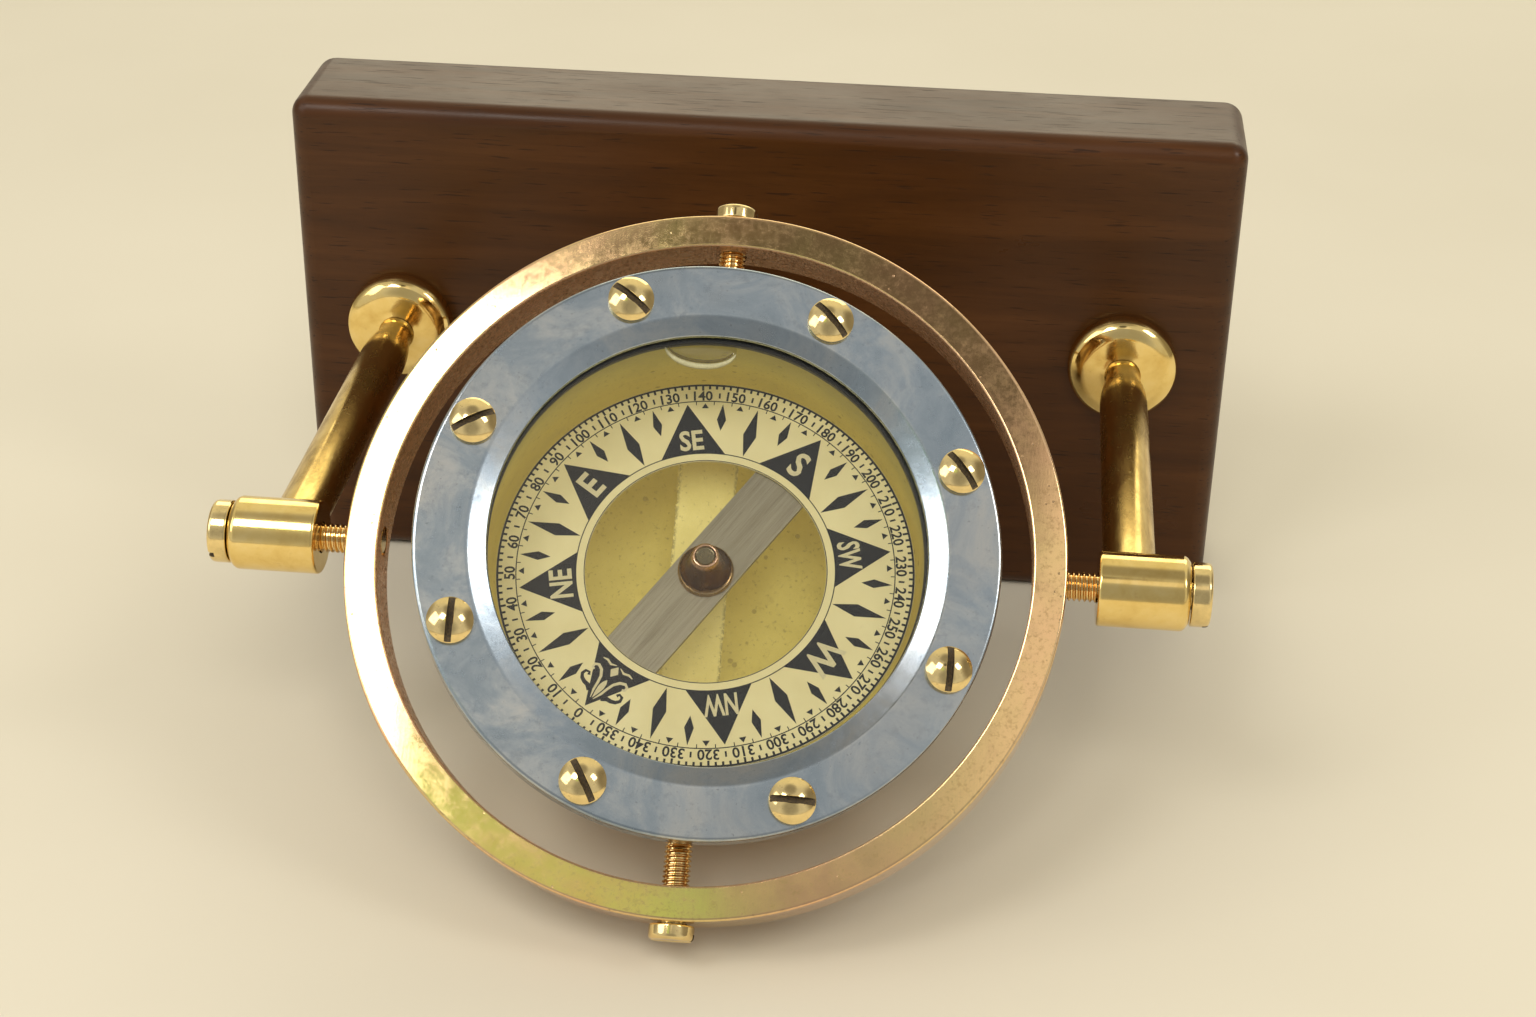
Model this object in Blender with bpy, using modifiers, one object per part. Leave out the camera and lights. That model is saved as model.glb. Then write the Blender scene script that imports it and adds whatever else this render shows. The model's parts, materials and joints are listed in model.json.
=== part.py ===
"""Gimballed liquid compass on a wooden bulkhead board.

Two brass arms stand out of the board's front face.  Screws through their cross heads carry an
outer gimbal ring, and two more screws through the ring carry the compass bowl at right angles.
A printed card with a bar magnet rides on a needle inside the liquid-filled bowl.

World frame, in metres: +X to the right, +Y into the board, +Z up.  The origin is the centre of
the long edge face that the board stands on.
"""
from math import acos, cos, degrees, pi, radians, sin

import bmesh
import bpy
from mathutils import Matrix, Vector

# ---------------------------------------------------------------- driving dimensions (metres)
GAP = 0.0003                      # clearance between pieces that touch or run in each other

BOARD_LENGTH, BOARD_THICKNESS, BOARD_HEIGHT = 0.229, 0.034, 0.1225
BOARD_EDGE_RADIUS = 0.004
NUT_POCKET_RADIUS, NUT_POCKET_DEPTH = 0.0085, 0.0100

ARM_X = 0.0892                    # half the distance between the two arms
ARM_REACH = 0.1075                # board's front face to the gimbal axis
GIMBAL_HEIGHT = 0.0655            # gimbal axis above the standing face
ROSETTE_RADIUS, ROSETTE_THICKNESS = 0.0133, 0.0085
ROD_RADIUS, NECK_RADIUS, NECK_LENGTH = 0.0056, 0.0039, 0.0090
STUD_RADIUS = 0.0030
HEAD_RADIUS, HEAD_LENGTH = 0.0079, 0.0190
HEAD_OFFSET = 0.0027              # head's middle outboard of its rod's axis

RING_OUTER, RING_INNER, RING_HALF_WIDTH = 0.0760, 0.0689, 0.0059
RING_EDGE = 0.0005
RING_TILT = 45.6                  # degrees, ring turned up from level, its far side raised
GIMBAL_SHANK, GIMBAL_HEAD_RADIUS, GIMBAL_HEAD_LENGTH = 0.0031, 0.00675, 0.0042
BOWL_SHANK, BOWL_SCREW_HEAD_RADIUS, BOWL_SCREW_HEAD_LENGTH = 0.0029, 0.0047, 0.0032

BOWL_TILT = 8.7                   # degrees, bowl turned in the ring
BOWL_OUTER, BOWL_INNER = 0.0503, 0.0470
BOWL_CORNER, BOWL_WALL = 0.0120, 0.0031
BOWL_DEPTH = 0.0493               # pivot axis down to the underside of the bowl
BOSS_RADIUS, BOSS_REACH = 0.0060, 0.0550
FILLER_LEVEL, SMALL_SHANK = -0.0160, 0.0013
FLANGE_OUTER, FLANGE_TOP, FLANGE_UNDER = 0.0597, 0.0093, 0.0045
SEAT_RADIUS, SEAT_LEVEL = 0.0511, 0.0072

BEZEL_OUTER, BEZEL_STEP, BEZEL_OPENING = 0.0609, 0.0498, 0.0456
BEZEL_FACE, BEZEL_LIP, BEZEL_LIP_UNDER = 0.0153, 0.0139, 0.0127
BEZEL_SCREWS, BEZEL_SCREW_CIRCLE = 8, 0.0552
BEZEL_SCREW_HEAD, BEZEL_SCREW_SHANK, BEZEL_SCREW_DOME = 0.0048, 0.0022, 0.0030
BEZEL_SLOT_TURNS = (-50, -45, -35, 30, 90, -60, 0, 90)    # degrees, as each screw came to rest
BEZEL_HEAD_SKIRT = 0.0011         # upright side of a bezel screw's head
GASKET_INNER = 0.0459

CARD_RADIUS, CARD_HOLE, CARD_THICKNESS = 0.04445, 0.0256, 0.0006
CARD_TILT, CARD_LEAN = 11.6, 117.0    # degrees: lean of the card, and the way that it leans
CARD_NORTH = 235.5                # degrees, the north point's place around the card
PIVOT_LEVEL, CARD_DROP = 0.0016, 0.0050    # needle point, and the card below it
BAR_LENGTH, BAR_WIDTH, BAR_THICKNESS, BAR_BORE = 0.0580, 0.0130, 0.0012, 0.0046
CAP_BASE, CAP_TOP, CAP_HEIGHT = 0.0061, 0.0028, 0.0085
BRIDGE_LEVEL, BRIDGE_WIDTH, BRIDGE_SHEET, BRIDGE_SPAN = -0.0220, 0.0130, 0.0016, 0.0700

EXPANSION_HOLE = 0.0050           # lets the liquid through the bowl's floor to the diaphragm
DIAPHRAGM_RADIUS, DIAPHRAGM_SHEET = 0.0265, 0.0008
DIAPHRAGM_WAVES, DIAPHRAGM_REACH, DIAPHRAGM_DIP = 2, 0.0210, 0.0012
COVER_RADIUS, COVER_THICKNESS, COVER_BEVEL = 0.0345, 0.0063, 0.0015
COVER_RECESS_RADIUS, COVER_RECESS_DEPTH, COVER_VENT = 0.0240, 0.0028, 0.0015
COVER_SCREWS, COVER_SCREW_CIRCLE = 6, 0.0308
COVER_SINK_RADIUS, COVER_SINK_DEPTH = 0.0026, 0.0020
SMALL_HEAD_RADIUS, SMALL_HEAD_HEIGHT = 0.0023, 0.0014
SMALL_TAP_DEPTH = 0.0020          # how far the small screws are threaded into the bowl
FILLER_BORE, FILLER_SHANK, FILLER_HEAD_RADIUS, FILLER_HEAD_TOP = 0.0033, 0.0030, 0.0050, 0.0045
FILLER_WASHER_RADIUS, FILLER_WASHER_TOP = 0.0052, 0.0013
POST_TIP, POST_RADIUS, POST_FOOT, NEEDLE_RADIUS, NEEDLE_REACH = 0.0012, 0.0020, 0.0034, 0.0005, 0.0120
WASHER_RADIUS, WASHER_TOP = 0.0075, 0.0013
NUT_RADIUS, NUT_HEIGHT = 0.0064, 0.0050
SLOT_WIDTH, SLOT_DEPTH = 0.0012, 0.0012
THROUGH = 0.0200                  # length of a drill that passes right through a piece
BRIDGE_FOOT, BRIDGE_SCREW_SPOT = 0.0085, 0.0300

FINE, MEDIUM, COARSE, TINY = 60, 40, 20, 12    # facets around large to very small turned pieces

GIMBAL = Vector((0.0, -BOARD_THICKNESS / 2 - ARM_REACH, GIMBAL_HEIGHT))
ALONG_X = (0.0, pi / 2, 0.0)      # turns a piece's own +Z to +X
ALONG_MINUS_X = (0.0, -pi / 2, 0.0)
ALONG_Y = (-pi / 2, 0.0, 0.0)
ALONG_MINUS_Y = (pi / 2, 0.0, 0.0)


# ---------------------------------------------------------------- scene and materials
def clear_scene():
    for item in list(bpy.data.objects):
        bpy.data.objects.remove(item, do_unlink=True)


def new_collection(name):
    group = bpy.data.collections.new(name)
    bpy.context.scene.collection.children.link(group)
    return group


def new_material(name, colour, roughness, metallic):
    material = bpy.data.materials.new(name)
    material.use_nodes = True
    shader = material.node_tree.nodes["Principled BSDF"]
    shader.inputs["Base Color"].default_value = (*colour, 1.0)
    shader.inputs["Roughness"].default_value = roughness
    shader.inputs["Metallic"].default_value = metallic
    return material


clear_scene()
PARTS = new_collection("gimballed_compass")
CUTTERS = new_collection("cutters")
MAHOGANY = new_material("mahogany", (0.075, 0.022, 0.010), 0.35, 0.0)
BRASS = new_material("polished_brass", (0.80, 0.58, 0.22), 0.15, 1.0)
BRONZE = new_material("worn_bronze", (0.72, 0.50, 0.28), 0.32, 1.0)
STEEL = new_material("bright_steel", (0.60, 0.60, 0.60), 0.30, 1.0)
NICKEL = new_material("grey_nickel", (0.42, 0.47, 0.52), 0.30, 1.0)
BOWL_PAINT = new_material("olive_yellow_paint", (0.55, 0.48, 0.16), 0.45, 0.0)
GLASS = new_material("clear_glass", (0.95, 0.97, 0.96), 0.03, 0.0)
RUBBER = new_material("black_rubber", (0.02, 0.02, 0.02), 0.60, 0.0)
CARD_STOCK = new_material("cream_card", (0.78, 0.72, 0.52), 0.60, 0.0)
COPPER = new_material("cap_copper", (0.42, 0.22, 0.10), 0.30, 1.0)
JEWEL = new_material("jewel", (0.60, 0.10, 0.15), 0.10, 0.0)


# ---------------------------------------------------------------- modelling helpers
def place(thing, parent, location, rotation, group):
    group.objects.link(thing)
    thing.parent = parent
    thing.location = location
    thing.rotation_euler = rotation
    return thing


def part(name, mesh, material, parent=None, location=(0, 0, 0), rotation=(0, 0, 0)):
    """A named sub-part with its own material."""
    mesh.materials.append(material)
    return place(bpy.data.objects.new(name, mesh), parent, location, rotation, PARTS)


def pivot_frame(name, parent, location, rotation):
    """An empty that holds a moving piece's frame; its origin is on the joint's axis."""
    return place(bpy.data.objects.new(name, None), parent, location, rotation, PARTS)


def mesh_of(name, build):
    """A mesh filled by one bmesh primitive call."""
    mesh = bpy.data.meshes.new(name)
    shape = bmesh.new()
    build(shape)
    shape.to_mesh(mesh)
    shape.free()
    return mesh


def box_mesh(name, size):
    def build(shape):
        bmesh.ops.create_cube(shape, size=1.0, matrix=Matrix.Diagonal((*size, 1.0)))
    return mesh_of(name, build)


def prism_mesh(name, radius, length, sides):
    """A cylinder or prism centred on its own origin, along its own Z."""
    def build(shape):
        bmesh.ops.create_cone(shape, cap_ends=True, segments=sides, radius1=radius,
                              radius2=radius, depth=length)
    return mesh_of(name, build)


def profile_mesh(name, points, closed):
    """The half outline of a turned piece, as (radius, height) points down its outer side."""
    mesh = bpy.data.meshes.new(name)
    edges = [(i, i + 1) for i in range(len(points) - 1)]
    if closed:
        edges.append((len(points) - 1, 0))
    mesh.from_pydata([(radius, 0.0, height) for radius, height in points], edges, [])
    return mesh


def turned(name, points, material, sides, closed=False, **placing):
    """A turned piece; an open outline starts and ends on the axis."""
    piece = part(name, profile_mesh(name, points, closed), material, **placing)
    screw = piece.modifiers.new("turn", "SCREW")
    screw.steps = sides
    screw.render_steps = sides
    screw.use_merge_vertices = True
    screw.merge_threshold = 0.000001
    screw.use_smooth_shade = True
    return piece


def arc(centre, radius, start, end, count):
    """Points on an arc of an outline, angles in degrees from +radius towards +height."""
    turns = [radians(start + (end - start) * i / count) for i in range(count + 1)]
    return [(centre[0] + radius * cos(a), centre[1] + radius * sin(a)) for a in turns]


def cutter(name, mesh, parent=None, location=(0, 0, 0), rotation=(0, 0, 0)):
    tool = place(bpy.data.objects.new(name, mesh), parent, location, rotation, CUTTERS)
    tool.hide_render = True
    tool.display_type = "WIRE"
    return tool


def boolean(piece, tool, operation="DIFFERENCE"):
    modifier = piece.modifiers.new(tool.name, "BOOLEAN")
    modifier.operation = operation
    modifier.solver = "EXACT"
    modifier.object = tool


def drill(piece, name, radius, length, sides=COARSE, **placing):
    boolean(piece, cutter(name, prism_mesh(name, radius, length, sides), **placing))


def slot(piece, name, width, depth, length, top, turn=0.0, **placing):
    """A screwdriver slot across the top of a turned head that points along its frame's +Z."""
    frame = Matrix.Translation(placing.get("location", (0, 0, 0)))
    frame = frame @ euler_matrix(placing.get("rotation", (0, 0, 0)))
    tool = cutter(name, box_mesh(name, (length, width, 2 * depth)), placing.get("parent"))
    tool.matrix_local = frame @ Matrix.Translation((0, 0, top)) @ Matrix.Rotation(turn, 4, "Z")
    boolean(piece, tool)


def euler_matrix(rotation):
    turn_x, turn_y, turn_z = (Matrix.Rotation(a, 4, axis) for a, axis in zip(rotation, "XYZ"))
    return turn_z @ turn_y @ turn_x


def solid_mesh(piece):
    """Turns a filled curve into a mesh with joined edges, ready for cutting."""
    bpy.context.view_layer.update()
    graph = bpy.context.evaluated_depsgraph_get()
    mesh = bpy.data.meshes.new_from_object(piece.evaluated_get(graph))
    shape = bmesh.new()
    shape.from_mesh(mesh)
    bmesh.ops.remove_doubles(shape, verts=shape.verts, dist=0.000001)
    shape.to_mesh(mesh)
    shape.free()
    name, parent, matrix = piece.name, piece.parent, piece.matrix_local.copy()
    bpy.data.objects.remove(piece, do_unlink=True)
    solid = bpy.data.objects.new(name, mesh)
    PARTS.objects.link(solid)
    solid.parent = parent
    solid.matrix_local = matrix
    return solid


def around(count, first=0.0):
    """Evenly spaced angles around a full turn, in radians."""
    return [radians(first) + 2 * pi * i / count for i in range(count)]


# ---------------------------------------------------------------- board and arms
def build_board():
    size = (BOARD_LENGTH, BOARD_THICKNESS, BOARD_HEIGHT)
    board = part("base_board", box_mesh("base_board", size), MAHOGANY,
                 location=(0, 0, BOARD_HEIGHT / 2))
    bevel = board.modifiers.new("rounded_edges", "BEVEL")
    bevel.width = BOARD_EDGE_RADIUS
    bevel.segments = 3
    for side, x in (("left", -ARM_X), ("right", ARM_X)):
        drill(board, f"stud_hole_{side}", STUD_RADIUS + GAP, 2 * BOARD_THICKNESS,
              location=(x, 0, GIMBAL_HEIGHT), rotation=ALONG_Y)
        drill(board, f"nut_pocket_{side}", NUT_POCKET_RADIUS, 2 * NUT_POCKET_DEPTH,
              location=(x, BOARD_THICKNESS / 2, GIMBAL_HEIGHT), rotation=ALONG_Y)


def build_arm(side, x):
    """One arm: rosette, rod with its neck and stud, cross head, and the nut behind the board."""
    front = -BOARD_THICKNESS / 2
    outboard = 1 if x > 0 else -1
    on_board = {"location": (x, front, GIMBAL_HEIGHT), "rotation": ALONG_MINUS_Y}
    bore = STUD_RADIUS + GAP
    dome = arc((ROSETTE_RADIUS - 0.0028, 0.0035), 0.0028, 80, 0, 3)
    turned(f"rosette_{side}",
           [(bore, ROSETTE_THICKNESS - 0.0012), (NECK_RADIUS + 0.0012, ROSETTE_THICKNESS - 0.0012),
            (NECK_RADIUS + 0.0040, ROSETTE_THICKNESS - 0.0019), *dome,
            (ROSETTE_RADIUS, GAP + 0.0006), (ROSETTE_RADIUS - 0.0006, GAP), (bore, GAP)],
           BRASS, MEDIUM, closed=True, **on_board)

    neck = ROSETTE_THICKNESS - 0.0012 + GAP
    stud_end = -BOARD_THICKNESS + 0.0015
    rod = turned(f"arm_rod_{side}",
                 [(0, ARM_REACH), (ROD_RADIUS, ARM_REACH), (ROD_RADIUS, neck + NECK_LENGTH + 0.002),
                  (ROD_RADIUS - 0.0004, neck + NECK_LENGTH), (NECK_RADIUS + 0.0004, neck + 0.0020),
                  (NECK_RADIUS, neck + 0.0008), (NECK_RADIUS + 0.0003, neck),
                  (STUD_RADIUS, neck), (STUD_RADIUS, stud_end), (0, stud_end)],
                 BRASS, COARSE, **on_board)
    head_at = (x + outboard * HEAD_OFFSET, GIMBAL.y, GIMBAL.z)
    drill(rod, f"rod_saddle_{side}", HEAD_RADIUS + GAP, 2 * THROUGH, MEDIUM,
          location=head_at, rotation=ALONG_X)

    half, chamfer = HEAD_LENGTH / 2, 0.0007
    head_bore = GIMBAL_SHANK + GAP
    turned(f"pivot_head_{side}",
           [(head_bore, half), (HEAD_RADIUS - 2 * chamfer, half), (HEAD_RADIUS, half - 1.5 * chamfer),
            (HEAD_RADIUS, chamfer - half), (HEAD_RADIUS - chamfer, -half), (head_bore, -half)],
           BRASS, MEDIUM, closed=True, location=head_at,
           rotation=ALONG_X if outboard > 0 else ALONG_MINUS_X)

    pocket_floor = BOARD_THICKNESS / 2 - NUT_POCKET_DEPTH
    turned(f"arm_washer_{side}",
           [(bore, WASHER_TOP), (WASHER_RADIUS, WASHER_TOP), (WASHER_RADIUS, GAP), (bore, GAP)],
           BRASS, COARSE, closed=True, location=(x, pocket_floor, GIMBAL_HEIGHT), rotation=ALONG_Y)
    nut_at = (x, pocket_floor + WASHER_TOP + GAP + NUT_HEIGHT / 2, GIMBAL_HEIGHT)
    nut = part(f"arm_nut_{side}", prism_mesh(f"arm_nut_{side}", NUT_RADIUS, NUT_HEIGHT, 6), BRASS,
               location=nut_at, rotation=ALONG_Y)
    drill(nut, f"nut_bore_{side}", bore, THROUGH, location=nut_at, rotation=ALONG_Y)


# ---------------------------------------------------------------- gimbal ring and its screws
def cheese_screw(name, shank, head, head_length, length, seat, parent, rotation, slot_turn):
    """A slotted screw whose head sits at distance seat from its frame's origin, tip inwards."""
    edge = 0.0008
    screw = turned(name,
                   [(0, seat + head_length), (head - edge, seat + head_length),
                    (head, seat + head_length - edge), (head, seat + edge / 2),
                    (head - edge / 2, seat), (shank, seat), (shank, seat - length + edge),
                    (shank - edge, seat - length), (0, seat - length)],
                   BRASS, COARSE, parent=parent, rotation=rotation)
    slot(screw, f"{name}_slot", SLOT_WIDTH, SLOT_DEPTH, 3 * head, seat + head_length, slot_turn,
         parent=parent, rotation=rotation)


def build_ring(frame):
    half, edge = RING_HALF_WIDTH, RING_EDGE
    ring = turned("gimbal_ring",
                  [(RING_OUTER - edge, half), (RING_OUTER, half - edge), (RING_OUTER, edge - half),
                   (RING_OUTER - edge, -half), (RING_INNER + edge, -half), (RING_INNER, edge - half),
                   (RING_INNER, half - edge), (RING_INNER + edge, half)],
                  BRONZE, FINE, closed=True, parent=frame)
    middle = (RING_OUTER + RING_INNER) / 2
    for side, sign in (("left", -1), ("right", 1)):
        drill(ring, f"gimbal_hole_{side}", GIMBAL_SHANK + GAP, THROUGH,
              parent=frame, location=(sign * middle, 0, 0), rotation=ALONG_X)
    for side, sign in (("top", 1), ("bottom", -1)):
        drill(ring, f"bowl_hole_{side}", BOWL_SHANK + GAP, THROUGH,
              parent=frame, location=(0, sign * middle, 0), rotation=ALONG_Y)

    arm_seat = ARM_X + HEAD_OFFSET + HEAD_LENGTH / 2 + GAP
    for side, turn in (("left", ALONG_MINUS_X), ("right", ALONG_X)):
        cheese_screw(f"gimbal_screw_{side}", GIMBAL_SHANK, GIMBAL_HEAD_RADIUS, GIMBAL_HEAD_LENGTH,
                     arm_seat - RING_INNER, arm_seat, frame, turn, radians(25))
    ring_seat = RING_OUTER + GAP
    for side, turn in (("top", ALONG_Y), ("bottom", ALONG_MINUS_Y)):
        cheese_screw(f"bowl_screw_{side}", BOWL_SHANK, BOWL_SCREW_HEAD_RADIUS,
                     BOWL_SCREW_HEAD_LENGTH, ring_seat - BOWL_OUTER - GAP, ring_seat, frame, turn,
                     radians(70))


# ---------------------------------------------------------------- bowl, bezel and glass
def build_bowl(frame):
    floor = BOWL_WALL - BOWL_DEPTH
    inner_corner = BOWL_CORNER - BOWL_WALL
    bowl = turned("bowl",
                  [(FLANGE_OUTER, FLANGE_TOP), (FLANGE_OUTER, FLANGE_UNDER),
                   (BOWL_OUTER + 0.0015, FLANGE_UNDER), (BOWL_OUTER, FLANGE_UNDER - 0.0015),
                   *arc((BOWL_OUTER - BOWL_CORNER, BOWL_CORNER - BOWL_DEPTH), BOWL_CORNER, 0, -90, 5),
                   (EXPANSION_HOLE, -BOWL_DEPTH), (EXPANSION_HOLE, floor),
                   *arc((BOWL_INNER - inner_corner, floor + inner_corner), inner_corner, -90, 0, 3),
                   (BOWL_INNER, SEAT_LEVEL), (SEAT_RADIUS, SEAT_LEVEL), (SEAT_RADIUS, FLANGE_TOP)],
                  BRONZE, FINE, closed=True, parent=frame)
    boss_length = BOSS_REACH - BOWL_INNER - 0.0010
    boss_middle = BOSS_REACH - boss_length / 2
    for side, sign in (("top", 1), ("bottom", -1)):
        boss = cutter(f"boss_{side}", prism_mesh(f"boss_{side}", BOSS_RADIUS, boss_length, COARSE),
                      frame, (0, sign * boss_middle, 0), ALONG_Y)
        boolean(bowl, boss, "UNION")
        drill(bowl, f"pivot_bore_{side}", BOWL_SHANK + GAP, 2 * (BOSS_REACH - BOWL_OUTER + GAP),
              parent=frame, location=(0, sign * BOSS_REACH, 0), rotation=ALONG_Y)
    drill(bowl, "filler_hole", FILLER_BORE, THROUGH,
          parent=frame, location=(-BOWL_OUTER, 0, FILLER_LEVEL), rotation=ALONG_X)
    for number, angle in enumerate(bezel_angles(), 1):
        drill(bowl, f"flange_hole_{number}", BEZEL_SCREW_SHANK + GAP, THROUGH, TINY, parent=frame,
              location=(BEZEL_SCREW_CIRCLE * cos(angle), BEZEL_SCREW_CIRCLE * sin(angle),
                        FLANGE_TOP))
    for number, angle in enumerate(around(COVER_SCREWS), 1):
        drill(bowl, f"cover_tap_{number}", SMALL_SHANK + GAP, 2 * SMALL_TAP_DEPTH, TINY, parent=frame,
              location=(COVER_SCREW_CIRCLE * cos(angle), COVER_SCREW_CIRCLE * sin(angle),
                        -BOWL_DEPTH))
    for number, sign in enumerate((1, -1), 1):
        drill(bowl, f"bridge_tap_{number}", SMALL_SHANK + GAP, 2 * SMALL_TAP_DEPTH, TINY, parent=frame,
              location=(0, sign * BRIDGE_SCREW_SPOT, floor))

    filler = {"parent": frame, "location": (-BOWL_OUTER, 0, FILLER_LEVEL), "rotation": ALONG_MINUS_X}
    turned("filler_washer",
           [(FILLER_BORE, FILLER_WASHER_TOP), (FILLER_WASHER_RADIUS, FILLER_WASHER_TOP),
            (FILLER_WASHER_RADIUS, GAP), (FILLER_BORE, GAP)], RUBBER, COARSE, closed=True, **filler)
    seat, edge = FILLER_WASHER_TOP + GAP, 0.0007
    plug = turned("filler_plug",
                  [(0, FILLER_HEAD_TOP), (FILLER_HEAD_RADIUS - edge, FILLER_HEAD_TOP),
                   (FILLER_HEAD_RADIUS, FILLER_HEAD_TOP - edge), (FILLER_HEAD_RADIUS, seat),
                   (FILLER_SHANK, seat), (FILLER_SHANK, -FILLER_SHANK), (0, -FILLER_SHANK)],
                  BRASS, COARSE, **filler)
    slot(plug, "filler_slot", SLOT_WIDTH, SLOT_DEPTH, THROUGH, FILLER_HEAD_TOP, radians(15), **filler)


def bezel_angles():
    return around(BEZEL_SCREWS, 22.5)


def build_bezel(frame):
    edge = 0.0008
    bezel = turned("bezel",
                   [(BEZEL_OUTER - edge, BEZEL_FACE), (BEZEL_OUTER, BEZEL_FACE - edge),
                    (BEZEL_OUTER, FLANGE_TOP + GAP), (SEAT_RADIUS, FLANGE_TOP + GAP),
                    (SEAT_RADIUS, BEZEL_LIP_UNDER), (BEZEL_OPENING, BEZEL_LIP_UNDER),
                    (BEZEL_OPENING, BEZEL_LIP), (BEZEL_STEP, BEZEL_FACE)],
                   NICKEL, FINE, closed=True, parent=frame)
    for number, angle in enumerate(bezel_angles(), 1):
        spot = (BEZEL_SCREW_CIRCLE * cos(angle), BEZEL_SCREW_CIRCLE * sin(angle), BEZEL_FACE + GAP)
        drill(bezel, f"bezel_hole_{number}", BEZEL_SCREW_SHANK + GAP, THROUGH, TINY,
              parent=frame, location=spot)
        screw = turned(f"bezel_screw_{number}", round_head_outline(), BRASS, 16, parent=frame,
                       location=spot)
        slot(screw, f"bezel_slot_{number}", SLOT_WIDTH, BEZEL_SCREW_DOME - BEZEL_HEAD_SKIRT, THROUGH,
             BEZEL_SCREW_DOME, radians(BEZEL_SLOT_TURNS[number - 1]), parent=frame, location=spot)


def round_head_outline():
    """A round-head screw: a low dome on a short skirt, and a plain shank."""
    rise = BEZEL_SCREW_DOME - BEZEL_HEAD_SKIRT
    radius = (BEZEL_SCREW_HEAD ** 2 + rise ** 2) / (2 * rise)
    sweep = degrees(acos((radius - rise) / radius))
    dome = arc((0, BEZEL_SCREW_DOME - radius), radius, 90, 90 - sweep, 3)
    length = BEZEL_FACE - FLANGE_UNDER + 0.0010
    return [*dome, (BEZEL_SCREW_HEAD, 0), (BEZEL_SCREW_SHANK, 0),
            (BEZEL_SCREW_SHANK, -length), (0, -length)]


def build_glazing(frame):
    turned("glass",
           [(0, BEZEL_LIP_UNDER - GAP), (SEAT_RADIUS - GAP, BEZEL_LIP_UNDER - GAP),
            (SEAT_RADIUS - GAP, FLANGE_TOP + GAP), (0, FLANGE_TOP + GAP)],
           GLASS, MEDIUM, parent=frame)
    turned("gasket",
           [(SEAT_RADIUS - GAP, FLANGE_TOP), (SEAT_RADIUS - GAP, SEAT_LEVEL + GAP),
            (GASKET_INNER, SEAT_LEVEL + GAP), (GASKET_INNER, FLANGE_TOP)],
           RUBBER, MEDIUM, closed=True, parent=frame)


def build_bottom(frame):
    """The corrugated expansion diaphragm under the bowl, its vented cover and six screws."""
    top, sheet = -BOWL_DEPTH - GAP, DIAPHRAGM_SHEET
    steps = 4 * DIAPHRAGM_WAVES
    dips = [(DIAPHRAGM_REACH * i / steps, DIAPHRAGM_DIP * (cos(pi * i / 2) - 1) / 2)
            for i in range(steps + 1)]
    upper = [(r, top + dip) for r, dip in dips]
    lower = [(r, top - sheet + dip) for r, dip in reversed(dips)]
    turned("expansion_diaphragm",
           [*upper, (DIAPHRAGM_RADIUS, top), (DIAPHRAGM_RADIUS, top - sheet), *lower],
           BRASS, 28, parent=frame)

    clamp, bottom = top - sheet - GAP, top - COVER_THICKNESS
    rim = DIAPHRAGM_RADIUS + GAP
    cover = turned("bottom_cover",
                   [(COVER_VENT, clamp - COVER_RECESS_DEPTH),
                    (COVER_RECESS_RADIUS, clamp - COVER_RECESS_DEPTH),
                    (COVER_RECESS_RADIUS, clamp), (rim, clamp), (rim, top), (COVER_RADIUS, top),
                    (COVER_RADIUS, bottom + COVER_BEVEL), (COVER_RADIUS - COVER_BEVEL, bottom),
                    (COVER_VENT, bottom)],
                   BRONZE, MEDIUM, closed=True, parent=frame)
    seat = bottom + COVER_SINK_DEPTH
    tip = top + SMALL_TAP_DEPTH - 2 * GAP
    for number, angle in enumerate(around(COVER_SCREWS), 1):
        spot = (COVER_SCREW_CIRCLE * cos(angle), COVER_SCREW_CIRCLE * sin(angle), bottom)
        drill(cover, f"cover_hole_{number}", SMALL_SHANK + GAP, THROUGH, TINY, parent=frame,
              location=spot)
        drill(cover, f"cover_sink_{number}", COVER_SINK_RADIUS, 2 * COVER_SINK_DEPTH, TINY,
              parent=frame, location=spot)
        turned(f"cover_screw_{number}",
               [(0, tip), (SMALL_SHANK, tip), (SMALL_SHANK, seat - GAP),
                (SMALL_HEAD_RADIUS, seat - GAP), (SMALL_HEAD_RADIUS, seat - GAP - SMALL_HEAD_HEIGHT),
                (0, seat - GAP - SMALL_HEAD_HEIGHT)],
               BRASS, TINY, parent=frame, location=(spot[0], spot[1], 0))


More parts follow.
